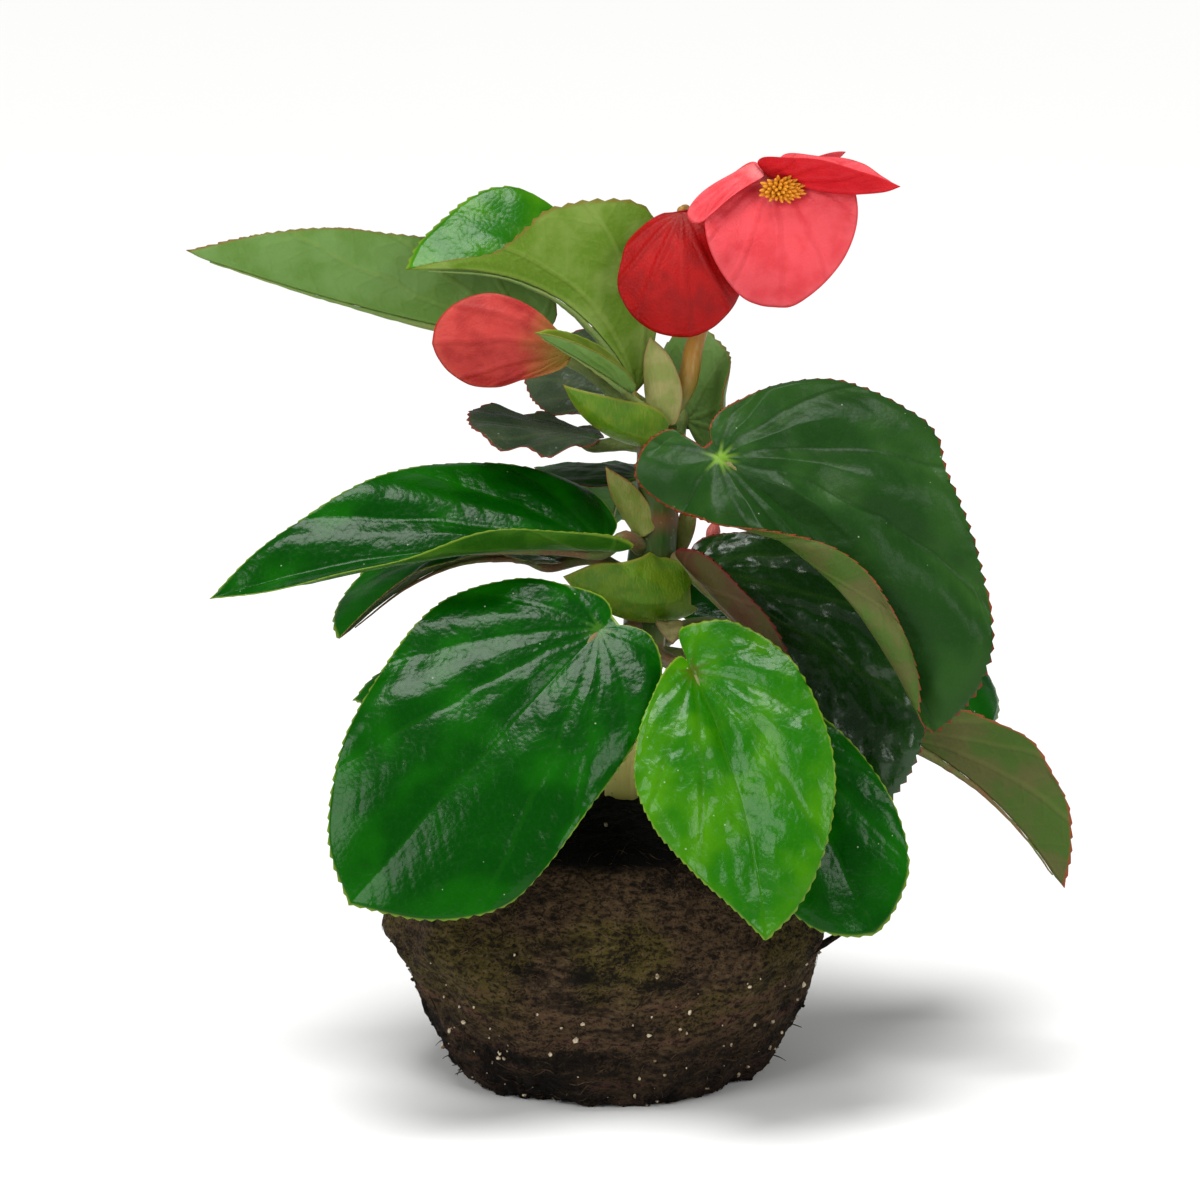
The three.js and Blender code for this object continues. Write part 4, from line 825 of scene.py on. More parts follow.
def sheet(blade, first, thickness, spoke_gap, ring_gap, pleat=0, tooth=0, crinkle=0, seed=0):
    """A thin closed sheet over a blade: rings from the stalk out to the edge on its upper face, and
    back on its under face, each half the thickness from the middle of the flesh, which has puckers
    and a wave that grows with the cube of the reach.
    Values: rib is the distance in mm to the nearest main vein, run that to the stalk, and rim that
    to the edge. The upper face takes material 0 and the under face 1."""
    form = blade.form
    half, share, edge_ahead, edge_out = blade.edge(first, spoke_gap)
    length = np.hypot(edge_ahead, edge_out)
    rings = max(FEWEST_RINGS, int(length.max() / ring_gap))
    reach = np.linspace(0, 1, rings + 1)[1:, None] ** 0.9 * np.ones_like(length)
    reach[-1] = 1 - teeth(length, tooth, seed)
    ahead, out = edge_ahead * reach, edge_out * reach
    run, rim = np.hypot(ahead, out), (1 - reach) * length
    flat = np.stack([ahead, half * out], -1)
    level = np.dstack([flat, 0 * ahead])
    wander = np.stack([cloud(level, VEIN_WANDER_SIZE, seed + k) for k in (5, 6)], -1)
    wander = VEIN_WANDER * wander * np.clip(run / 8, 0, 1)[..., None]
    rib = nearest_vein(flat + wander, blade.veins())
    turned = 2 * np.pi * form["waves"] * share + form["phase"] + np.where(half > 0, 0, 2)
    wave = form["wave"] * np.sin(turned) * reach**3 * np.sin(np.pi * share)
    lift = wave + puckers(flat, run, rib, rim, pleat, crinkle, seed)
    middle = blade.bent(half, ahead / blade.length, out, lift)
    flat_shell = closed_rings(middle, blade.start, middle[-1].mean(0))
    skin = flat_shell.faces[(flat_shell.faces != len(flat_shell.points) - 1).all(axis=1)]
    facing = point_normals(flat_shell.points, skin)
    depth = thickness / 2 * (EDGE_THICKNESS + (1 - EDGE_THICKNESS) * np.clip(rim / EDGE_WIDTH, 0, 1))
    offset = depth[..., None] * facing[: middle[..., 0].size].reshape(middle.shape)
    both = np.concatenate([middle + offset, (middle - offset)[::-1]])
    ends = [blade.start + sign * thickness / 2 * facing[-2] for sign in (1, -1)]
    values = dict(rib=rib, run=run, rim=rim)
    values = {name: np.concatenate([value, value[::-1]]) for name, value in values.items()}
    shell = closed_rings(both, *ends, **values, top=np.repeat([1.0, 0.0], rings)[:, None])
    top = shell.values.pop("top")
    shell.slots = (top[shell.faces].mean(axis=1) < 0.5).astype(int)
    return shell


def petiole(blade, radius, pleat):
    """The stalk of a leaf from inside the stem to the blade, and on in the underside of the blade
    as its midrib, which lies in the fold between the two halves."""
    fold = [0.55 * pleat * min(1, ahead * blade.length / PLEAT_START) for ahead, _ in RIDGE]
    depth = [LEAF_THICKNESS / 2 + 0.9 * size * radius + dip for (_, size), dip in zip(RIDGE, fold)]
    path = [*blade.form["petiole"], *[blade.below(ahead, d) for (ahead, _), d in zip(RIDGE, depth)]]
    sizes = [PETIOLE_FOOT, 1, *[size for _, size in RIDGE]]
    steps = np.linalg.norm(np.diff(path, axis=0), axis=1)
    stations = np.concatenate([[0], np.cumsum(steps)]) / steps.sum()
    radii = radius * np.interp(np.linspace(0, 1, 40), stations, sizes)
    shell = tube(path, radii, PETIOLE_STEPS, PETIOLE_SIDES, slot=2)
    shell.points += 0.1 * cloud(shell.points, 1.3, 44)[:, None]
    return shell


def leaf_upper(name, deep, pale, vein, star, rim, gloss, quilt, shine):
    """Upper face: deep and pale green in soft blotches, paler towards the edge, faint lines along
    the main veins and the side veins that branch ahead from them, a star over the stalk, a coloured
    rim, specks of dried water, and small puffed cells that break up the gloss. Where the vein colour
    is darker than the flesh, as on the dark faces, the lines along the main veins are painted shade
    in the creases there."""
    finish = Finish(name, Specular_IOR_Level=shine)
    rib, run, edge = (finish.value(key) for key in ("rib", "run", "rim"))
    blotch, speckle, cells = finish.noise(13, 2), finish.noise(0.8, 3), finish.grains(1.0)
    branches = ((run - rib * 0.8) / VEIN_BRANCH_GAP + blotch * 0.6).zigzag()
    color = finish.layers(
        deep,
        ((blotch + edge.between(9, 1) * 0.1).between(0.42, 0.7), pale),
        (rib.between(0.5, 4) * 0.35, deep),
        (speckle.between(0.5, 0.75) * 0.2, pale),
        (branches.between(0.88, 0.99) * 0.06, vein),
        # Lines along the main veins: on the dark faces their colour is darker than the flesh, painted shade
        # in the creases there.
        (rib.between(0.9, 0.1) * 0.35, vein),
        # The star over the stalk: on the bright faces its dark olive is painted shade in the crease where
        # the stalk meets the blade.
        (run.between(5.5, 1) * rib.between(0.7, 0.1) * 0.65, star),
        (run.between(2.2, 0.8) * 0.8, star),
        (edge.between(0.9, 0.25) * 0.85, rim),
        (finish.grains(5).between(0.05, 0.03) * 0.5, WATER_SPECK),
    )
    relief = (1 - cells * cells) * quilt - rib.between(1.3, 0.1) * 0.09 - branches.between(0.4, 1) * 0.04
    roughness = gloss + speckle * 0.05 + cells.between(0.45, 0.65) * 0.06
    finish.wear(color, roughness, relief + speckle * 0.02)
    return finish


def leaf_under(name, flesh, tint, vein, rim):
    """Under face: paler and duller than the upper one, with veins that stand out in ridges."""
    finish = Finish(name, Specular_IOR_Level=0.12, Subsurface_Weight=0.06, Subsurface_Scale=0.001)
    rib, run, edge = (finish.value(key) for key in ("rib", "run", "rim"))
    blotch, speckle = finish.noise(11, 3), finish.noise(0.7, 3)
    branches = ((run - rib * 0.8) / VEIN_BRANCH_GAP + blotch * 0.6).zigzag()
    color = finish.layers(
        flesh,
        (blotch.between(0.42, 0.62), tint),
        (speckle.between(0.45, 0.7) * 0.25, tint),
        (branches.between(0.86, 0.98) * 0.1, vein),
        (rib.between(0.7, 0.2) * 0.3, vein),
        (edge.between(1.3, 0.3) * 0.8, rim),
    )
    relief = rib.between(1, 0.1) * 0.18 + branches.between(0.6, 1) * 0.06 + speckle * 0.08
    finish.wear(color, 0.45 + speckle * 0.15, relief + finish.grains(1.1) * 0.06)
    return finish


def petiole_skin(name, flesh, flush):
    """Leaf stalk: fleshy, flushed in patches with another colour and flecked, with a short down."""
    finish = Finish(name, Specular_IOR_Level=0.3, Sheen_Weight=0.08)
    flecks = finish.noise(0.6, 3)
    color = finish.layers(
        flesh,
        (finish.noise(9, 2).between(0.4, 0.6), flush),
        (flecks.between(0.5, 0.75) * 0.3, PETIOLE_FLECK),
    )
    finish.wear(color, 0.4 + flecks * 0.2, flecks * 0.2)
    return finish


RIM_PALE, RIM_RED = (0.16, 0.25, 0.02), (0.22, 0.02, 0.012)
STAR_GREEN, STAR_YELLOW = (0.03, 0.11, 0.006), (0.14, 0.27, 0.02)
WATER_SPECK = (0.4, 0.45, 0.35)
PETIOLE_FLECK = (0.24, 0.27, 0.08)
# Upper faces: the deep and the pale green, the veins, the star and the rim, then roughness, height
# of the cells in mm and shine.
UPPER_FACES = {
    # The dark face's vein colour is darker than its flesh: painted shade in the creases along its veins.
    "dark": (
        (0.01, 0.042, 0.006), (0.022, 0.07, 0.011), (0.004, 0.022, 0.002), STAR_YELLOW, RIM_RED,
        0.28, 0.03, 0.08,
    ),
    "glossy": (
        (0.0004, 0.04, 0.0004), (0.003, 0.08, 0.0005), (0.004, 0.07, 0.001), STAR_GREEN, RIM_PALE,
        0.16, 0.04, 0.13,
    ),
    # The bright face's star colour is a dark olive: painted shade in the crease where the stalk meets the
    # blade.
    "bright": (
        (0.01, 0.11, 0.0004), (0.045, 0.19, 0.0005), (0.03, 0.13, 0.001), (0.05, 0.08, 0.004), RIM_PALE,
        0.18, 0.045, 0.17,
    ),
    "pale": (
        (0.07, 0.16, 0.016), (0.1, 0.2, 0.03), (0.15, 0.25, 0.06), STAR_YELLOW, RIM_RED,
        0.42, 0.03, 0.12,
    ),
    "crinkled": (
        (0.006, 0.035, 0.004), (0.014, 0.058, 0.008), (0.03, 0.08, 0.01), STAR_GREEN, RIM_RED,
        0.2, 0.04, 0.35,
    ),
    "grey": (
        (0.026, 0.045, 0.022), (0.05, 0.07, 0.036), (0.07, 0.1, 0.04), STAR_GREEN, RIM_RED,
        0.22, 0.05, 0.15,
    ),
    "yellowish": (
        (0.08, 0.14, 0.006), (0.12, 0.16, 0.012), (0.18, 0.22, 0.03), STAR_YELLOW, RIM_PALE,
        0.35, 0.02, 0.15,
    ),
}
# Under faces: the flesh, its tint, the veins and the rim.
UNDER_FACES = {
    "green": ((0.012, 0.075, 0.001), (0.03, 0.11, 0.003), (0.07, 0.15, 0.015), RIM_PALE),
    "pale": ((0.1, 0.2, 0.035), (0.13, 0.24, 0.06), (0.16, 0.25, 0.05), (0.14, 0.1, 0.02)),
    "lime": ((0.1, 0.19, 0.012), (0.17, 0.26, 0.045), (0.22, 0.3, 0.06), (0.14, 0.08, 0.01)),
    "olive": ((0.05, 0.1, 0.014), (0.085, 0.09, 0.025), (0.12, 0.13, 0.035), (0.3, 0.04, 0.02)),
    # A darker, greener copy of the olive under face, for leaves that lie in the shade of others: painted
    # shade.
    "shade_darkened": ((0.02, 0.05, 0.007), (0.035, 0.055, 0.015), (0.07, 0.08, 0.02), (0.16, 0.05, 0.03)),
    "brown": ((0.07, 0.06, 0.018), (0.08, 0.035, 0.018), (0.13, 0.07, 0.03), (0.14, 0.008, 0.012)),
}
PETIOLE_COLORS = {
    "pale": ((0.12, 0.2, 0.04), (0.17, 0.22, 0.05)), "flushed": ((0.1, 0.14, 0.025), (0.16, 0.08, 0.03))
}
# Each leaf: upper and under face, how deep its pleats and crinkles are, and its material slot.
LEAF_LOOKS = {
    "leaf_upper_right": ("dark", "olive", 1.9, 0.2, "leaf_green"),
    "leaf_front_left": ("glossy", "green", 0.42, 0.2, "leaf_green"),
    "leaf_front_middle": ("bright", "green", 0.5, 0.5, "leaf_bright"),
    "leaf_middle_left": ("glossy", "green", 0.7, 0.2, "leaf_green"),
    "leaf_top_left": ("pale", "pale", 0.6, 0.2, "leaf_pale"),
    "leaf_top_middle": ("bright", "lime", 0.5, 0.6, "leaf_pale"),
    "leaf_lower_right": ("glossy", "green", 0.7, 0.25, "leaf_green"),
    "leaf_far_right": ("glossy", "olive", 0.8, 0.3, "leaf_olive"),
    "leaf_inner_right": ("crinkled", "brown", 0.8, 1.1, "leaf_green"),
    # This leaf and the next wear the darker under face: painted shade.
    "leaf_under_left": ("glossy", "shade_darkened", 0.7, 0.4, "leaf_olive"),
    "leaf_thin_left": ("grey", "shade_darkened", 0.7, 0.6, "leaf_green"),
    "leaf_back_left": ("grey", "green", 0.7, 0.6, "leaf_green"),
    "leaf_back_right": ("pale", "pale", 0.6, 0.3, "leaf_pale"),
    "leaf_back_lower_left": ("glossy", "green", 0.8, 0.4, "leaf_green"),
    "leaf_back_lower_right": ("glossy", "green", 0.8, 0.4, "leaf_green"),
    "leaf_back_middle": ("dark", "green", 0.8, 0.4, "leaf_green"),
    "leaf_young": ("yellowish", "pale", 0.2, 0.2, "leaf_bright"),
}
TOOTH_SIZES = {"yellowish": 0.5, "dark": 2, "crinkled": 2}  # 1 on every other upper face

upper = {name: leaf_upper("leaf_" + name, *look) for name, look in UPPER_FACES.items()}
under = {name: leaf_under("leaf_under_" + name, *colors) for name, colors in UNDER_FACES.items()}
stalk_skins = {name: petiole_skin("petiole_" + name, *colors) for name, colors in PETIOLE_COLORS.items()}
for number, (name, form) in enumerate(LEAVES.items()):
    above, beneath, fullness, crinkle, slot = LEAF_LOOKS[name]
    blade = Blade(form)
    pleat = fullness * PLEAT_HEIGHT
    tooth = TOOTH_DEPTH * TOOTH_SIZES.get(above, 1)
    flesh = sheet(blade, **LEAF_SHEET, pleat=pleat, tooth=tooth, crinkle=crinkle, seed=50 + 3 * number)
    radius = YOUNG_PETIOLE_RADIUS if name == "leaf_young" else PETIOLE_RADIUS
    leaf = joined([flesh, petiole(blade, radius, pleat)])
    stalk = stalk_skins["pale" if beneath in ("pale", "lime") else "flushed"]
    piece = build(name + "_blade", leaf, [upper[above], under[beneath], stalk])
    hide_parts(name)

# Stipules
# Papery scales that wrapped the young leaves and flower buds, one or two at each joint of the
# stem. The upper ones are still fleshy and green, and the dry one has gone brown. Each is held
# by its foot on the stem.
STIPULE_SHEET = dict(first=0.09375, thickness=0.5, spoke_gap=0.65, ring_gap=0.95)
STIPULES = {
    "stipule_top": dict(
        at=(13.5, -4.6, 146.8), mid=(2.5, -8.5, 150.5), tip=(-9, -8, 160),
        up=(0.1, 0.9, 0.5),
        left=[(0, 0.2), (0.3, 0.28), (0.7, 0.18)],
        right=[(0, 0.18), (0.3, 0.24), (0.7, 0.16)],
        fold=(10, 10), curl=((50, 50), (40, 40)),
    ),
    "stipule_upright": dict(
        at=(13.6, -3.9, 150), mid=(12.6, -3.9, 160), tip=(10.5, -3.2, 170),
        up=(0, 1, 0),
        left=[(0.02, 0.14), (0.35, 0.24), (0.75, 0.16)],
        right=[(0.02, 0.14), (0.35, 0.2), (0.75, 0.14)],
        fold=((5, 5), (10, 10)), curl=((10, 10), (30, 30)),
    ),
    "stipule_middle": dict(
        at=(17, -10, 111), mid=(5, -15, 112), tip=(-9, -14.5, 117.5),
        up=(0.1, 1, 0),
        left=[(-0.2, 0.15), (-0.12, 0.34), (0.12, 0.45), (0.38, 0.38), (0.6, 0.3), (0.84, 0.2)],
        right=[(-0.2, 0.12), (-0.1, 0.22), (0.2, 0.22), (0.5, 0.18), (0.8, 0.1)],
        fold=(10, 10), curl=(50, 30),
    ),
    "stipule_dry": dict(
        at=(14.5, -10, 106), mid=(15, -17, 105.5), tip=(15.5, -24, 104),
        up=(0, -0.3, 1),
        left=[(0.05, 0.14), (0.4, 0.24), (0.75, 0.14)],
        fold=(10, 10), curl=(30, 30),
    ),
    "stipule_sheath": dict(
        at=(9.5, -5.4, 125), mid=(5.6, -5, 131.5), tip=(0.5, -3.5, 140.5),
        up=(0, 1, 0.1),
        left=[(0.02, 0.16), (0.3, 0.26), (0.7, 0.2)],
        right=[(0.02, 0.1), (0.3, 0.14), (0.7, 0.14)],
        fold=(10, 10), curl=(30, 30),
    ),
    "stipule_side": dict(
        at=(17, 3.5, 119), mid=(19, 4, 126), tip=(20.5, 4, 134),
        up=(0, 1, 0),
        left=[(0.05, 0.1), (0.4, 0.16), (0.75, 0.1)],
        fold=(10, 10), curl=(30, 30),
    ),
}
# Each stipule skin: the flesh, its tint and the edge.
SCALE_COLORS = {
    "fresh": ((0.065, 0.16, 0.002), (0.1, 0.19, 0.004), (0.2, 0.2, 0.02)),
    "pale": ((0.15, 0.2, 0.03), (0.22, 0.24, 0.06), (0.28, 0.16, 0.05)),
    "white": ((0.22, 0.26, 0.06), (0.3, 0.29, 0.1), (0.3, 0.2, 0.08)),
    "dry": ((0.13, 0.12, 0.04), (0.19, 0.17, 0.07), (0.1, 0.05, 0.02)),
}
# Each stipule: its skin and how deep its crinkles are in mm.
STIPULE_LOOKS = {
    "stipule_top": ("fresh", 0.25), "stipule_upright": ("white", 0.25),
    "stipule_middle": ("fresh", 0.55), "stipule_dry": ("dry", 0.25),
    "stipule_sheath": ("pale", 0.25), "stipule_side": ("pale", 0.25),
}


def scale_skin(name, flesh, tint, edge):
    """A stipule: thin and shiny, tinted in patches, with fine upright lines and a paler or browned
    edge."""
    finish = Finish(name, Specular_IOR_Level=0.25, Subsurface_Weight=0.15, Subsurface_Scale=0.001)
    lines = finish.noise(0.5, 3, (1, 1, 4))
    color = finish.layers(
        flesh,
        (finish.noise(4, 3).between(0.4, 0.62), tint),
        (lines.between(0.5, 0.72) * 0.4, edge),
        (finish.value("rim").between(1.3, 0.2) * 0.75, edge),
    )
    finish.wear(color, 0.36 + lines * 0.2, lines * 0.25 + finish.noise(0.25, 2) * 0.06)
    return finish


scale_skins = {name: scale_skin("stipule_" + name, *colors) for name, colors in SCALE_COLORS.items()}
for number, (name, form) in enumerate(STIPULES.items()):
    skin_name, crinkle = STIPULE_LOOKS[name]
    scale = sheet(Blade(form), **STIPULE_SHEET, crinkle=crinkle, seed=120 + 3 * number)
    piece = build(name + "_scale", scale, [scale_skins[skin_name]] * 2)
    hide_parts(name)

# Flower stalks
# Fleshy stalks from the top joint of the stem, orange where the light reaches them and green
# below. The bud has a stalk of its own, lower down.
FLOWER_STALK = [
    (13, 1, 150), (18.5, 1, 158), (21, 5, 168), (26, 8, 181), (32, 5, 195), (37.1, -4.1, 205),
]
FLOWER_STALK_RADII = (2.5, 2.3, 1.9, 1.7, 1.5, 1.3)
FLOWER_BRANCH = [(23, 6.4, 173.5), (22, 8.4, 187), (19, 1.5, 197.5), (17.3, -4.8, 198.6)]
FLOWER_BRANCH_RADII = (1.4, 1.1, 1, 0.9)
# The plain stalks: path and radii.
PLAIN_STALKS = {
    "side_flower_stalk": ([(11, 0, 150), (2.5, -0.5, 161), (-6, -7.6, 167.7)], (1.4, 1.2, 1)),
    "bud_stalk": ([(12, 1, 117), (19, 4, 116.5), (24, 4.5, 120.5)], (1.3, 1, 0.7)),
}
STALK_GREEN, STALK_ORANGE, STALK_STREAK = (0.1, 0.17, 0.02), (0.3, 0.15, 0.015), (0.34, 0.09, 0.02)
ORANGE_HEIGHTS = (148, 166)  # mm: the stalks turn from green to orange between these


def flower_stalk_skin():
    """Green in the shade and orange higher up, with fine streaks and a soft gloss."""
    finish = Finish("flower_stalk_skin", Specular_IOR_Level=0.45, Subsurface_Weight=0.12)
    flush, streaks = finish.noise(8, 2), finish.noise(0.7, 3, (1, 1, 5))
    color = finish.layers(
        STALK_GREEN,
        (finish.height().between(*ORANGE_HEIGHTS) + (flush - 0.5) * 0.6, STALK_ORANGE),
        (streaks.between(0.5, 0.72) * 0.35, STALK_STREAK),
    )
    finish.wear(color, 0.34 + streaks * 0.2, streaks * 0.2)
    return finish


stalk_flush = flower_stalk_skin()
main_stalk = tube(FLOWER_STALK, FLOWER_STALK_RADII, 110, 24)
branch = tube(FLOWER_BRANCH, FLOWER_BRANCH_RADII, 60, 18)
stalks = joined([main_stalk, branch])
stalks.points += 0.12 * cloud(stalks.points, 1.8, 60)[:, None]
piece = build("flower_stalk_forked", stalks, [stalk_flush])
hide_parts("flower_stalk")
for name, (path, radii) in PLAIN_STALKS.items():
    shell = tube(path, radii, 50, 18)
    shell.points += 0.08 * cloud(shell.points, 1.4, 61)[:, None]
    piece = build(name + "_skin", shell, [stalk_flush])
    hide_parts(name)

# Flowers
# Soft, slightly glossy tepals, red-pink and lightly ribbed from foot to tip, attached at their
# feet to the ends of the flower stalks. The open bloom shows its stamens, the second still hangs
# shut, and the side bloom is greenish low down.
TEPAL_SHEET = dict(first=0.075, thickness=0.6, spoke_gap=0.6, ring_gap=0.95, pleat=0.35, crinkle=0.3)
TEPALS = {
    "open_bloom": [
        dict(
            at=(37.5, -6, 205.5), mid=(39.2, -12, 192.5), tip=(38.8, -10, 177.6),
            up=(0, -1, 0.1), up_tip=(0, -0.9, -0.3),
            left=[
                (-0.18, 0.12), (-0.1, 0.33), (0.03, 0.52), (0.2, 0.6), (0.38, 0.6), (0.57, 0.51),
                (0.77, 0.35), (0.92, 0.19), (0.985, 0.09),
            ],
            right=[
                (-0.18, 0.1), (-0.1, 0.28), (0.03, 0.42), (0.2, 0.54), (0.38, 0.57), (0.57, 0.53),
                (0.77, 0.42), (0.92, 0.28), (0.985, 0.13),
            ],
            fold=(8, 6), curl=(15, 15), wave=0.4, waves=2,
        ),
        dict(
            at=(36.5, -6, 206.6), mid=(52, -16, 204.2), tip=(64.8, -24, 206.4),
            up=(0, 0, 1),
            left=[(-0.06, 0.12), (0.05, 0.24), (0.3, 0.33), (0.55, 0.28), (0.78, 0.16), (0.92, 0.06)],
            right=[(-0.06, 0.1), (0.05, 0.2), (0.3, 0.25), (0.6, 0.24), (0.85, 0.13)],
            fold=((28, 28), (50, 50)), curl=(10, 10), wave=0.3, waves=2,
        ),
        dict(
            at=(34.6, -7, 208), mid=(25.8, -11, 203.7), tip=(19.4, -13, 197.1),
            up=(-0.5, -0.8, 0.5),
            left=[(0.03, 0.14), (0.3, 0.19), (0.65, 0.21), (0.88, 0.17), (0.975, 0.09)],
            right=[(0.03, 0.1), (0.3, 0.1), (0.65, 0.13), (0.88, 0.12), (0.975, 0.07)],
            fold=(5, 5), curl=(20, 20),
        ),
        dict(
            at=(38.5, -4, 205.4), mid=(46.3, -2, 208.4), tip=(54, -1, 211.2),
            up=(-0.2, -0.8, -0.5),
            left=[(0.05, 0.08), (0.35, 0.12), (0.7, 0.1), (0.9, 0.05)],
            fold=(5, 5), curl=(20, 20),
        ),
    ],
    "closed_bloom": [
        dict(
            at=(17.3, -5.6, 198), mid=(18, -12, 186), tip=(19, -9, 170.8),
            up=(0, 1, 0.1), up_tip=(0, 1, -0.2),
            left=[
                (-0.03, 0.14), (0.04, 0.3), (0.17, 0.44), (0.36, 0.5), (0.54, 0.54), (0.7, 0.53),
                (0.86, 0.44), (0.96, 0.28), (0.995, 0.12),
            ],
            right=[
                (-0.03, 0.15), (0.05, 0.3), (0.3, 0.48), (0.55, 0.5), (0.8, 0.4), (0.94, 0.24),
                (0.99, 0.1),
            ],
            fold=(5, 5), curl=(30, 30), wave=0.3, waves=2,
        ),
        dict(
            at=(17.3, -4.6, 198), mid=(19, -2.5, 187), tip=(20.5, -6, 172.5),
            up=(0, -1, 0.1), up_tip=(0, -1, -0.2),
            left=[(-0.03, 0.15), (0.05, 0.3), (0.3, 0.46), (0.55, 0.47), (0.8, 0.36), (0.94, 0.19)],
            right=[(-0.03, 0.13), (0.05, 0.29), (0.3, 0.46), (0.55, 0.5), (0.8, 0.42), (0.94, 0.24)],
            fold=(5, 5), curl=(15, 15), wave=0.3, waves=2, phase=1,
        ),
    ],
    "side_bloom": [
        dict(
            at=(-6.5, -8.4, 167.5), mid=(-21, -14, 171), tip=(-38, -13, 170),
            up=(0.1, 1, 0.1), up_tip=(-0.2, 1, 0),
            left=[(0.03, 0.04), (0.2, 0.12), (0.4, 0.25), (0.62, 0.31), (0.82, 0.26), (0.95, 0.14)],
            right=[
                (0.02, 0.12), (0.2, 0.24), (0.45, 0.35), (0.62, 0.37), (0.8, 0.34), (0.93, 0.23),
                (0.985, 0.11),
            ],
            fold=(5, 5), curl=(25, 25), wave=0.2, waves=2,
        ),
        dict(
            at=(-6.5, -7.6, 167.5), mid=(-20, -6.5, 170.5), tip=(-35, -9.5, 170.5),
            up=(0.1, -1, 0.1), up_tip=(-0.2, -1, 0),
            left=[
                (0.02, 0.14), (0.2, 0.26), (0.45, 0.34), (0.62, 0.35), (0.8, 0.32), (0.93, 0.21),
                (0.985, 0.11),
            ],
            right=[(0.03, 0.04), (0.2, 0.12), (0.4, 0.23), (0.65, 0.27), (0.85, 0.2), (0.96, 0.1)],
            fold=(5, 5), curl=(15, 15), wave=0.2, waves=2, phase=1,
        ),
    ],
}
# Each tepal skin: its heart, face, edge and foot, and how far up in mm the foot's colour reaches.
TEPAL_COLORS = {
    "pink": ((0.56, 0.024, 0.034), (0.68, 0.065, 0.08), (0.7, 0.13, 0.14), (0.66, 0.2, 0.2), 11),
    # A darker copy of the pink skin, worn by the open bloom's under faces: painted shade.
    "red_shaded": ((0.46, 0.004, 0.01), (0.56, 0.01, 0.018), (0.4, 0.004, 0.008), (0.4, 0.01, 0.01), 11),
    "crimson": ((0.22, 0.001, 0.001), (0.35, 0.001, 0.001), (0.38, 0.002, 0.002), (0.24, 0.01, 0.003), 11),
    "greenish": ((0.26, 0.008, 0.008), (0.42, 0.035, 0.028), (0.48, 0.1, 0.06), (0.19, 0.2, 0.02), 20),
}
# Each flower: the upper and under skin of its tepals, and its material slot. The open bloom's under skin is
# a darker red than its upper one: painted shade on the under faces.
TEPAL_LOOKS = {
    "open_bloom": ("pink", "red_shaded", "tepal_pink"),
    "closed_bloom": ("crimson", "crimson", "tepal_crimson"),
    "side_bloom": ("greenish", "greenish", "tepal_pink"),
}


def tepal_skin(name, heart, face, edge, foot, foot_reach):
    """A tepal: a soft face that darkens in patches and along its veins, fine light specks, a
    lighter margin with a dark rim, and a foot of its own colour."""
    finish = Finish(name, Specular_IOR_Level=0.2, Subsurface_Weight=0.2, Subsurface_Scale=0.002)
    run, rim, rib = (finish.value(key) for key in ("run", "rim", "rib"))
    ribs, soft = finish.noise(0.55, 3), finish.noise(5, 2)
    color = finish.layers(
        face,
        (soft.between(0.38, 0.66) * 0.6, heart),
        (rib.between(0.7, 0.2) * 0.2, heart),
        (ribs.between(0.5, 0.75) * 0.12, edge),
        (rim.between(2.5, 0.2) * 0.25, edge),
        (rim.between(0.5, 0.1) * 0.7, heart),
        ((run + soft * 8).between(foot_reach, 4) * 0.8, foot),
    )
    relief = rib.between(1.2, 0.1) * 0.25 + ribs * 0.14 + finish.grains(0.6) * 0.06
    finish.wear(color, 0.42 + ribs * 0.15, relief)
    return finish


tepal_skins = {name: tepal_skin("tepal_" + name, *look) for name, look in TEPAL_COLORS.items()}
for number, (name, forms) in enumerate(TEPALS.items()):
    above, beneath, slot = TEPAL_LOOKS[name]
    seed = 200 + 10 * number
    petals = [sheet(Blade(form), **TEPAL_SHEET, seed=seed + 2 * k) for k, form in enumerate(forms)]
    piece = build(name + "_tepals", joined(petals), [tepal_skins[above], tepal_skins[beneath]])
    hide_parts(name)

# Stamens
# A tuft of yellow stamens from a knob at the heart of the open bloom: thin filaments that spread
# like a fan, each with a longer, rounder anther at its end.
KNOB_BACK, KNOB_FRONT = np.array([38.4, -7.2, 203.8]), np.array([38.9, -9.4, 204])
KNOB_RADII = (1.2, 1.7, 2, 2.2, 2, 1.2)
STAMEN_COUNT = 48
STAMEN_ROOT_RING, STAMEN_SPREAD = 1.44, 4.16  # mm: radius of the ring of feet, and how far they lean out
STAMEN_REACH, STAMEN_DOME = 5.4, 2  # mm: length of the middle ones, and how much shorter the outer are
STAMEN_ELBOW = 0.4  # mm: how far the middle of a filament bends outwards
TUFT_FLATNESS = 0.6  # how much narrower the tuft is from top to bottom than from side to side
FILAMENT_RADII = (0.22, 0.2, 0.2, 0.34, 0.5, 0.52, 0.4, 0.15)
GOLDEN_ANGLE = np.pi * (3 - np.sqrt(5))
FILAMENT_ORANGE, ANTHER_YELLOW, POLLEN_LIGHT = (0.45, 0.12, 0.01), (0.72, 0.27, 0.012), (0.8, 0.42, 0.06)

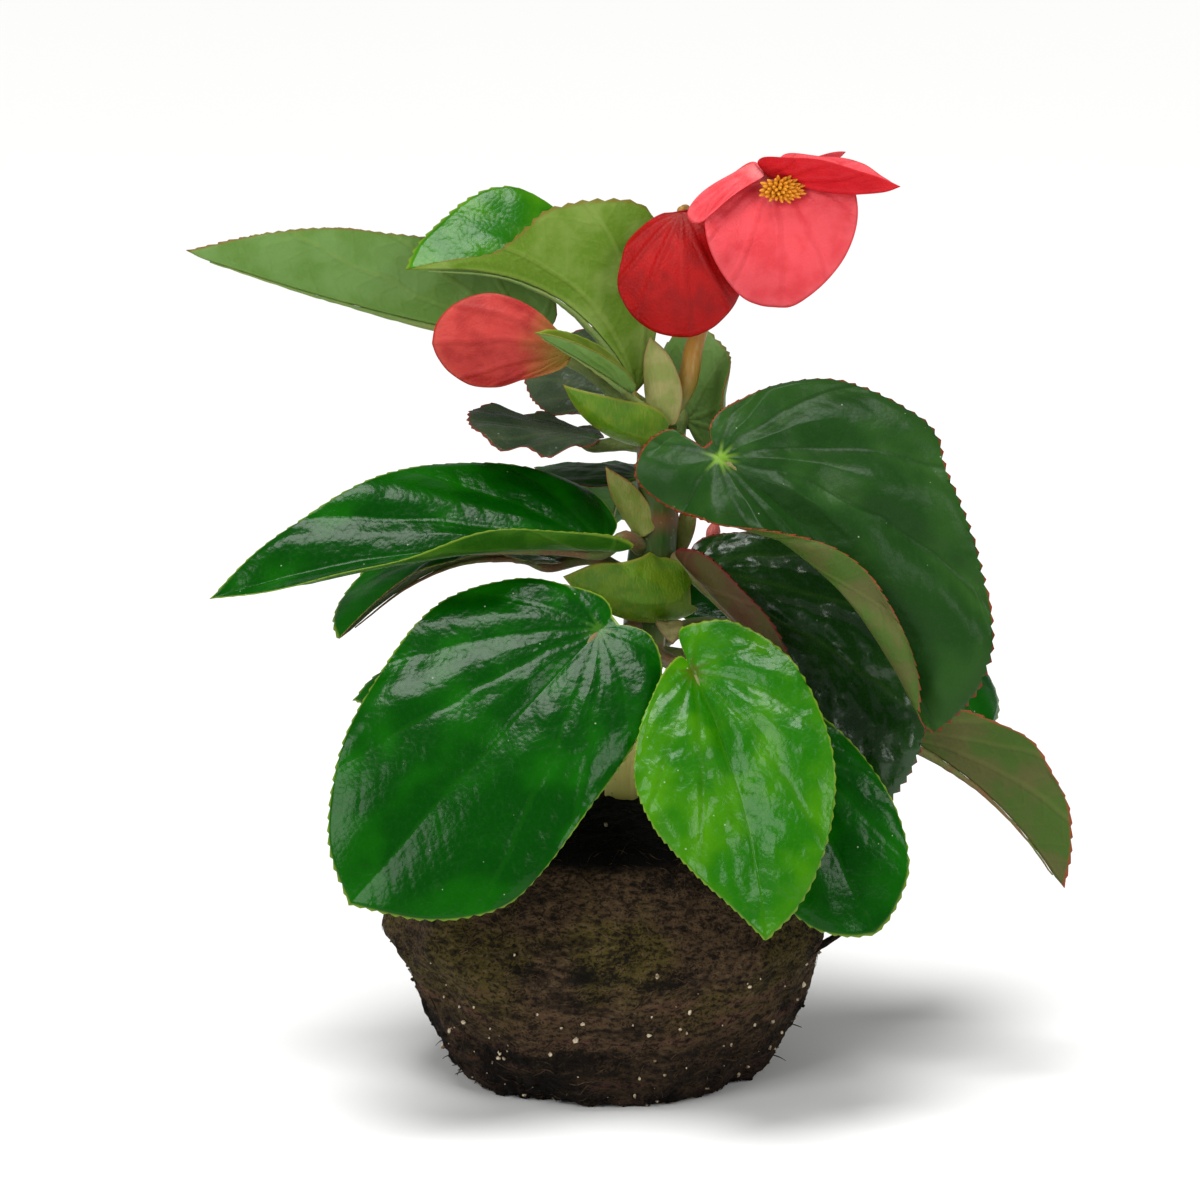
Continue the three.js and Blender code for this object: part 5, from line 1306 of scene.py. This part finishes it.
facing = unit(KNOB_FRONT - KNOB_BACK)
upwards = unit(np.cross(facing, (1, 0, 0)))
tuft = [tube([KNOB_BACK, KNOB_FRONT], KNOB_RADII, 12, 16)]
for number in range(STAMEN_COUNT):
    spread = np.sqrt((number + 0.5) / STAMEN_COUNT)
    turn = number * GOLDEN_ANGLE
    aside = np.cos(turn) * np.array([1, 0, 0]) + TUFT_FLATNESS * np.sin(turn) * upwards
    root = KNOB_BACK + 0.6 * (KNOB_FRONT - KNOB_BACK) + STAMEN_ROOT_RING * spread * aside
    end = root + STAMEN_SPREAD * spread * aside + (STAMEN_REACH - STAMEN_DOME * spread**2) * facing
    elbow = (root + end) / 2 + STAMEN_ELBOW * facing
    tuft.append(tube([root, elbow, end], FILAMENT_RADII, 18, 8))

pollen = Finish("stamen_yellow", Roughness=0.6, Specular_IOR_Level=0.3, Subsurface_Weight=0.2)
dust = pollen.noise(0.4, 3)
color = pollen.layers(
    FILAMENT_ORANGE,
    (pollen.value("along").between(2.2, 4.2), ANTHER_YELLOW),
    (dust.between(0.5, 0.7) * 0.4, POLLEN_LIGHT),
)
pollen.wear(color, relief=dust * 0.15)
piece = build("stamen_tuft", joined(tuft), [pollen])
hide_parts("open_bloom_stamens")

# Bud
# A small closed flower bud among the right-hand leaves: two pink tepals shut over each other, on
# the end of the bud stalk.
BUD_PATH = [(24.3, 4.5, 121.2), (25, 4.5, 123.5), (25.7, 4.5, 126.6)]
BUD_RADII = (0.4, 1.1, 1.5, 1.65, 1.6, 1.3, 0.8, 0.3)
SEAM_DEPTH, SEAM_WIDTH = 0.12, 0.18  # mm: the groove down the front where the tepals meet
BUD_GREEN, BUD_PINK, BUD_STREAK = (0.3, 0.2, 0.06), (0.62, 0.13, 0.11), (0.7, 0.25, 0.2)

bud = tube(BUD_PATH, BUD_RADII, 28, 24)
away = bud.points - np.array(BUD_PATH[1])
groove = SEAM_DEPTH * np.exp(-((away[:, :1] / SEAM_WIDTH) ** 2)) * (away[:, 1:2] < 0)
bud.points += groove * (0, 1, 0)
bud_skin = Finish("bud_pink", Specular_IOR_Level=0.4, Subsurface_Weight=0.2, Subsurface_Scale=0.001)
streaks = bud_skin.noise(0.4, 3, (1, 1, 5))
color = bud_skin.layers(
    BUD_GREEN,
    (bud_skin.value("along").between(0.5, 2.6), BUD_PINK),
    (streaks.between(0.5, 0.7) * 0.5, BUD_STREAK),
)
bud_skin.wear(color, 0.4 + streaks * 0.1, streaks * 0.15)
piece = build("flower_bud_closed", bud, [bud_skin])
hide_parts("flower_bud")

# Floor, light and camera
# A plain pale floor that fills the view, a broad high light, a large soft lamp on the front left, a
# weaker one on the right, and the photograph's camera: straight in front, 12 degrees above level.
FLOOR_SIZE = 14  # metres
FLOOR_WHITE, FLOOR_CLOUD = (0.86, 0.86, 0.85), (0.8, 0.8, 0.8)
WORLD_LIGHT = 0.24
CAMERA_TARGET, CAMERA_DISTANCE, CAMERA_RISE, CAMERA_LENS = np.array([-0.7, 0, 109]), 1100, 12, 145.2

mesh = bpy.data.meshes.new("floor")
corners = [(x * FLOOR_SIZE / 2, y * FLOOR_SIZE / 2, 0) for x, y in ((-1, -1), (1, -1), (1, 1), (-1, 1))]
mesh.from_pydata(corners, [], [(0, 1, 2, 3)])
floor = bpy.data.objects.new("floor", mesh)
bpy.context.scene.collection.objects.link(floor)
paint = Finish("floor_white", Roughness=0.9, Specular_IOR_Level=0.1)
paint.wear(paint.layers(FLOOR_WHITE, (paint.noise(400, 2) * 0.1, FLOOR_CLOUD)))
mesh.materials.append(paint.material)

world = bpy.data.worlds.new("studio")
world.use_nodes = True
world.node_tree.nodes["Background"].inputs["Color"].default_value = (1, 1, 1, 1)
world.node_tree.nodes["Background"].inputs["Strength"].default_value = WORLD_LIGHT
bpy.context.scene.world = world
bpy.context.scene.view_settings.view_transform = "Standard"


def lamp(name, kind, place, energy, target, **settings):
    """A lamp at a place in metres that faces the target."""
    light = bpy.data.lights.new(name, kind)
    light.energy = energy
    for key, value in settings.items():
        setattr(light, key, value)
    holder = bpy.data.objects.new(name, light)
    holder.location = place
    holder.rotation_euler = (target - holder.location).to_track_quat("-Z", "Y").to_euler()
    bpy.context.scene.collection.objects.link(holder)


middle = Vector(CAMERA_TARGET * MM)
lamp("high_light", "SUN", (-0.15, -0.3, 2), 2.9, middle, angle=np.radians(30))
lamp("key_lamp", "AREA", (-0.9, -1.1, 0.8), 12, middle, size=0.75)
lamp("fill_lamp", "AREA", (0.9, -1.2, 0.9), 8, middle, size=0.6)
rise = np.radians(CAMERA_RISE)
camera = bpy.data.objects.new("camera", bpy.data.cameras.new("camera"))
camera.location = middle + CAMERA_DISTANCE * MM * Vector((0, -np.cos(rise), np.sin(rise)))
camera.rotation_euler = (np.pi / 2 - rise, 0, 0)
camera.data.lens = CAMERA_LENS
camera.data.sensor_width = 36
camera.data.clip_end = 50
bpy.context.scene.collection.objects.link(camera)
bpy.context.scene.camera = camera
